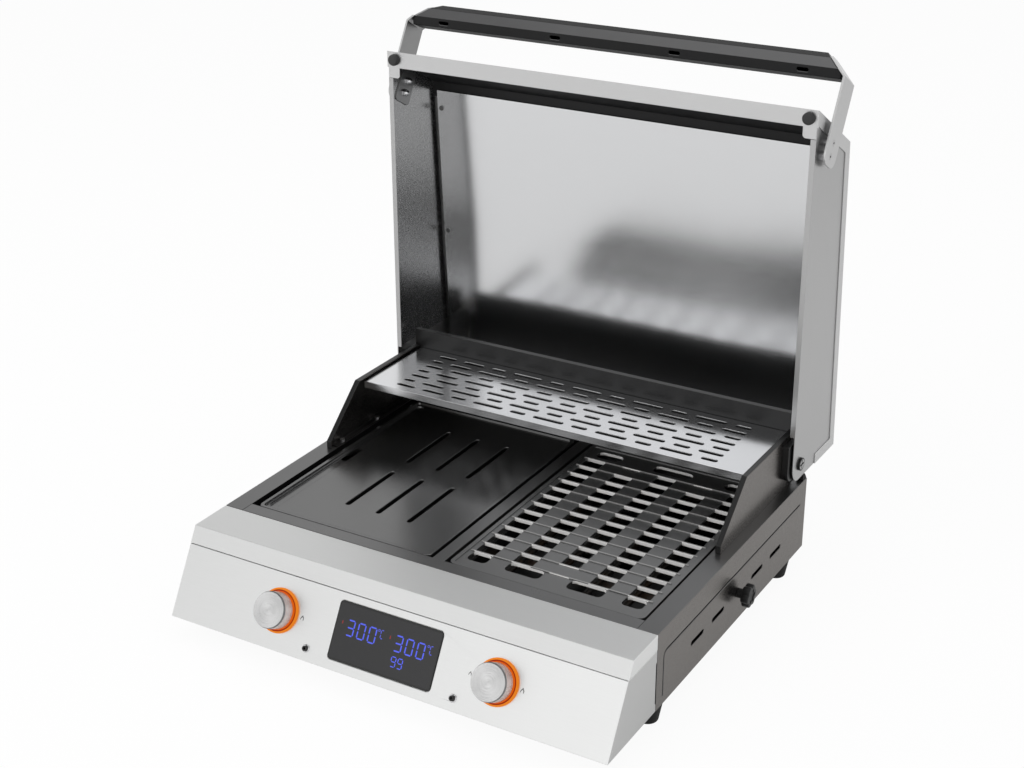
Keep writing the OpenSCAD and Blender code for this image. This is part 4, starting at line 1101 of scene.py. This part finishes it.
class GRILL_OT_display(bpy.types.Operator):
    """Finish the display glass and light its digits"""

    bl_idname = "grill.display"
    bl_label = "Display"

    def execute(self, context):
        low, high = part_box("display_window")
        half_x = (high.x - low.x) / 2
        half_y = (high.z - low.z) / 2 / PANEL_UP.z - GLASS_EDGE
        dress(["display_window"], window_glass("display_glass", (0.011, 0.011, 0.012), half_x, half_y))
        tall = sizes().digit_height / MM
        bm = bmesh.new()
        for left in HEAT_LEFT:
            for i, digit in enumerate("300"):
                self.digit(bm, digit, left + HEAT_PITCH * i, HEAT_TOP, HEAT_WIDE, tall,
                           HEAT_STROKE)
        for i, digit in enumerate("99"):
            self.digit(bm, digit, TIME_LEFT + TIME_PITCH * i, TIME_TOP, *TIME_SIZE, TIME_STROKE)
        piece("display_digits", bm, lit_mark("digit_light", colours().digits, 1.0), "base")
        bm = bmesh.new()
        for left in DEGREE_LEFT:
            middle = (left + DEGREE_MIDDLE) * MM
            turned(bm, DEGREE_RING, on_panel(middle, DEGREE_UP * MM, GLASS_TOP), steps=24)
            self.digit(bm, "C", left + UNIT_SHIFT, HEAT_TOP, *UNIT_SIZE, UNIT_STROKE)
        piece("degree_marks", bm, lit_mark("degree_light", (0.11, 0.13, 0.80), 0.8), "base")
        bm = bmesh.new()
        for x in STATUS_X:
            left, right = x - STATUS_HALF, x + STATUS_HALF
            self.bar(bm, [(left, STATUS_LOW), (right, STATUS_LOW), (right, STATUS_HIGH),
                          (left, STATUS_HIGH)])
        piece("status_lights", bm, lit_mark("status_light", (0.45, 0.02, 0.015), 0.6), "base")
        return {"FINISHED"}

    def bar(self, bm, points):
        """A lit shape on the glass."""
        flat_bar(bm, points, on_panel(0, 0, GLASS_TOP + MARK_LIFT), LIT_THICK * MM)

    def digit(self, bm, digit, left, top, wide, tall, thick):
        """A seven-segment digit whose corner is at left and top."""
        t = thick / 2
        x0, x1 = left + t, left + wide - t
        y0, y1, y2 = top - tall + t, top - tall / 2, top - t
        across = {"a": y2, "g": y1, "d": y0}
        upright = {"f": (x0, y1, y2), "b": (x1, y1, y2), "e": (x0, y0, y1), "c": (x1, y0, y1)}
        for part in SEGMENTS[digit]:
            if part in across:
                y = across[part]
                a, b = x0 + SEGMENT_GAP, x1 - SEGMENT_GAP
                points = [(a, y), (a + t, y - t), (b - t, y - t), (b, y), (b - t, y + t), (a + t, y + t)]
            else:
                x, low, high = upright[part]
                a, b = low + SEGMENT_GAP, high - SEGMENT_GAP
                points = [(x, a), (x + t, a + t), (x + t, b - t), (x, b), (x - t, b - t), (x - t, a + t)]
            self.bar(bm, points)


FLAME = [(-2.1, -2.4), (-2.2, -1.0), (-1.7, 0.3), (-0.5, 1.8), (0.1, 3.1), (1.0, 1.6), (1.9, 0.2),
         (2.2, -1.2), (1.8, -2.6), (1.1, -2.4), (1.4, -1.1), (1.0, -0.1), (0.3, 1.1), (-0.3, 0.6),
         (-1.1, -0.4), (-1.5, -1.3), (-1.5, -2.3)]
FLAMES = ((-171, 0.8), (-108.8, 1.0), (107.3, 0.8), (170, 1.0))


class GRILL_OT_panel_marks(bpy.types.Operator):
    """Print the small heat marks beside the knobs"""

    bl_idname = "grill.panel_marks"
    bl_label = "Heat marks"

    def execute(self, context):
        bm = bmesh.new()
        for x, size in FLAMES:
            flat_bar(bm, [(x + a * size, b * size) for a, b in FLAME], on_panel(0, 0, MARK_LIFT),
                     INK_THICK * MM)
        piece("heat_marks", bm, printed_mark("mark_ink", (0.05, 0.05, 0.05)), "base")
        return {"FINISHED"}


SOCKET_X = 94.6 * MM
SOCKET_DOWN = 30.3 * MM
SOCKET = [(0, -7.5), (1.8, -7.5), (1.8, 0.6), (3.1, 0.6), (3.1, 1.6), (4.0, 1.7), (4.45, 1.45),
          (4.6, 1.1), (4.6, 0.02), (3.0, 0.02), (3.0, -1.5), (5, -1.5), (5, -9.5), (0, -9.5)]
SLEEVE = [(0, -7.4), (1.75, -7.4), (1.75, 0.65), (3.05, 0.65), (3.05, 3.2), (2.85, 3.5),
          (1.7, 3.5), (1.45, 3.2), (1.45, -7.2), (0, -7.2)]


class GRILL_OT_sockets(bpy.types.Operator):
    """Turn the probe sockets, their nuts and their sleeves"""

    bl_idname = "grill.sockets"
    bl_label = "Probe sockets"

    def execute(self, context):
        sockets, sleeves = bmesh.new(), bmesh.new()
        for x in (-SOCKET_X, SOCKET_X):
            turned(sockets, SOCKET, on_panel(x, -SOCKET_DOWN), steps=48)
            turned(sleeves, SLEEVE, on_panel(x, -SOCKET_DOWN), steps=32)
        piece("turned_sockets", sockets, chrome("socket_nut", (0.72, 0.72, 0.73), rough=0.14), "base",
              ["probe_sockets"], smooth=30)
        piece("socket_sleeves", sleeves, moulded("socket_plastic", (0.025, 0.025, 0.025), rough=0.4),
              "base")
        return {"FINISHED"}


FOOT_HALF = 17 * MM
FOOT = [(6, 0), (10.9, 0), (11.6, 0.25), (12.1, 1.0), (12.35, 1.9), (16.75, 25.7), (16.9, 26.5),
        (16.6, 27), (2.7, 27), (2.7, 15), (6, 15)]


class GRILL_OT_feet(bpy.types.Operator):
    """Turn the four rubber feet"""

    bl_idname = "grill.feet"
    bl_label = "Feet"

    def execute(self, context):
        low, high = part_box("feet")
        bm = bmesh.new()
        for x in (low.x + FOOT_HALF, high.x - FOOT_HALF):
            for y in (low.y + FOOT_HALF, high.y - FOOT_HALF):
                turned(bm, FOOT, Matrix.Translation((x, y, 0)), steps=64)
        piece("rubber_feet", bm, moulded("foot_rubber", colours().rubber, rough=0.62), "base",
              ["feet"], smooth=30)
        return {"FINISHED"}


STAR_RADIUS = 13.5 * MM
STAR_WAIST = 0.83
STAR_FOOT = 8 * MM
STAR_THICK = 9 * MM
STAR_ROUND = 1.3 * MM
STAR_BORDER = 3.2 * MM
STAR_SLOPE = 0.6 * MM
STAR_DISH = 1.1 * MM
STAR_HUB = [(0, -11.4), (3, -11.4), (3, 0.35), (5.6, 0.35), (5.6, 8.6), (0, 8.6)]


class GRILL_OT_star_knobs(bpy.types.Operator):
    """Model the clamp knobs on the sides"""

    bl_idname = "grill.star_knobs"
    bl_label = "Star knobs"

    def execute(self, context):
        rubber = moulded("star_rubber", colours().rubber, rough=0.34)
        for side in ("left", "right"):
            place = on_wall(*joint_place(f"{side}_clamp_turn"))
            bm = bmesh.new()
            self.head(bm)
            settle(bm, place)
            turned(bm, STAR_HUB, place, steps=32)
            piece(f"clamp_knob_{side}", bm, rubber, f"{side}_clamp",
                  [f"star_knob_{side}"], smooth=40)
        return {"FINISHED"}

    def head(self, bm):
        """A six-lobed head with rounded rims and a dished face."""
        made = bmesh.ops.create_circle(bm, cap_ends=True, segments=96, radius=STAR_RADIUS)
        for v in made["verts"]:
            lobes = abs(cos(3 * v.co.xy.angle_signed(Vector((1, 0)))))
            v.co *= STAR_WAIST + (1 - STAR_WAIST) * lobes
        bmesh.ops.translate(bm, vec=(0, 0, STAR_FOOT), verts=bm.verts)
        raise_face(bm, list(bm.faces), STAR_THICK, True)
        bmesh.ops.recalc_face_normals(bm, faces=bm.faces)
        caps = [f for f in bm.faces if len(f.verts) > 4]
        rims = list({e for f in caps for e in f.edges})
        bmesh.ops.bevel(bm, geom=rims, offset=STAR_ROUND, segments=3, profile=0.5, affect="EDGES",
                        material=-1)
        caps = [f for f in bm.faces if len(f.verts) > 4]
        face = max(caps, key=lambda f: f.calc_center_median().z)
        bmesh.ops.inset_region(bm, faces=[face], thickness=STAR_BORDER)
        bmesh.ops.inset_region(bm, faces=[face], thickness=STAR_SLOPE)
        bmesh.ops.translate(bm, vec=(0, 0, -STAR_DISH), verts=face.verts)


SCREW_HEAD = 3.8
SCREW_PAST_NUT = 6.5
# A black cup that lines each screw's socket as painted shade
SHADE_CUP = [(0, -1.85), (1.4, -1.85), (1.4, -0.15), (1.25, -0.15), (1.25, -1.7), (0, -1.7)]


class GRILL_OT_arm_screws(bpy.types.Operator):
    """Turn the countersunk screws of the handle's arms, with a black cup of painted shade in each socket
    """

    bl_idname = "grill.arm_screws"
    bl_label = "Arm screws"

    def execute(self, context):
        low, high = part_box("arm_screws")
        r = SCREW_HEAD * MM
        long = (high.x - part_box("arm_nuts")[1].x) / MM + SCREW_PAST_NUT
        steel = [(0, -1.9), (1.45, -1.9), (1.45, -0.1), (1.6, 0), (SCREW_HEAD, 0), (2.4, -1.4),
                 (2.4, 0.4 - long), (2.0, -long), (0, -long)]
        screws, shade_cups = bmesh.new(), bmesh.new()
        for out in (X, -X):
            for y, z in ((low.y + r, low.z + r), (high.y - r, high.z - r)):
                place = on_wall(Vector((out.x * high.x, y, z)), out)
                turned(screws, steel, place, steps=40)
                turned(shade_cups, SHADE_CUP, place, steps=24)
        piece("arm_screw_heads", screws, chrome("arm_screw_steel", (0.60, 0.60, 0.60), rough=0.3), "lid",
              ["arm_screws"], smooth=30)
        # Painted shade: black cups inside the sockets.
        piece("arm_screw_socket_shade", shade_cups, moulded("arm_screw_painted_shade", (0.01, 0.01, 0.01), rough=0.5), "lid")
        return {"FINISHED"}


BUMPER_RADIUS = 7
BUMPER_TALL = 6.3
BUMPER = [(0, BUMPER_TALL), (4.1, BUMPER_TALL), (5.4, 6.0), (6.4, 5.2), (6.9, 4.0),
          (BUMPER_RADIUS, 2.6), (BUMPER_RADIUS, 0.02), (2.5, 0.02), (2.5, -1.72), (4, -1.72),
          (4, -4.5), (0, -4.5)]


class GRILL_OT_bumpers(bpy.types.Operator):
    """Turn the bumpers on the lid's rim"""

    bl_idname = "grill.bumpers"
    bl_label = "Lid bumpers"

    def execute(self, context):
        low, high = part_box("lid_bumpers")
        r = BUMPER_RADIUS * MM
        bm = bmesh.new()
        for x in (low.x + r, high.x - r):
            origin = Vector((x, low.y + BUMPER_TALL * MM, (low.z + high.z) / 2))
            turned(bm, BUMPER, on_wall(origin, -Y), steps=40)
        piece("rubber_bumpers", bm, moulded("bumper_rubber", (0.035, 0.035, 0.035), rough=0.55), "lid",
              ["lid_bumpers"], smooth=40)
        return {"FINISHED"}


PIECES = (GRILL_OT_stage, GRILL_OT_body, GRILL_OT_steelwork, GRILL_OT_plates, GRILL_OT_inside,
          GRILL_OT_knobs, GRILL_OT_light_rings, GRILL_OT_display, GRILL_OT_panel_marks,
          GRILL_OT_sockets, GRILL_OT_feet, GRILL_OT_star_knobs, GRILL_OT_arm_screws,
          GRILL_OT_bumpers)


class GRILL_PT_pieces(bpy.types.Panel):
    """Lists the grill's pieces, sizes and colours"""

    bl_idname = "GRILL_PT_pieces"
    bl_label = "Table Grill"
    bl_space_type = "VIEW_3D"
    bl_region_type = "UI"
    bl_category = "Grill"

    def draw(self, context):
        for operator in PIECES:
            self.layout.operator(operator.bl_idname)
        for group in (context.scene.grill_sizes, context.scene.grill_colours):
            box = self.layout.box()
            for key in group.bl_rna.properties.keys():
                if key not in ("rna_type", "name"):
                    box.prop(group, key)


CLASSES = (GrillSizes, GrillColours, *PIECES, GRILL_PT_pieces)


def register():
    for item in CLASSES:
        bpy.utils.register_class(item)
    bpy.types.Scene.grill_sizes = PointerProperty(type=GrillSizes)
    bpy.types.Scene.grill_colours = PointerProperty(type=GrillColours)


def unregister():
    del bpy.types.Scene.grill_colours
    del bpy.types.Scene.grill_sizes
    for item in reversed(CLASSES):
        bpy.utils.unregister_class(item)


def main():
    register()
    bpy.context.scene.view_settings.view_transform = "Standard"
    for operator in PIECES:
        category, name = operator.bl_idname.split(".")
        getattr(getattr(bpy.ops, category), name)()


if __name__ == "__main__":
    main()
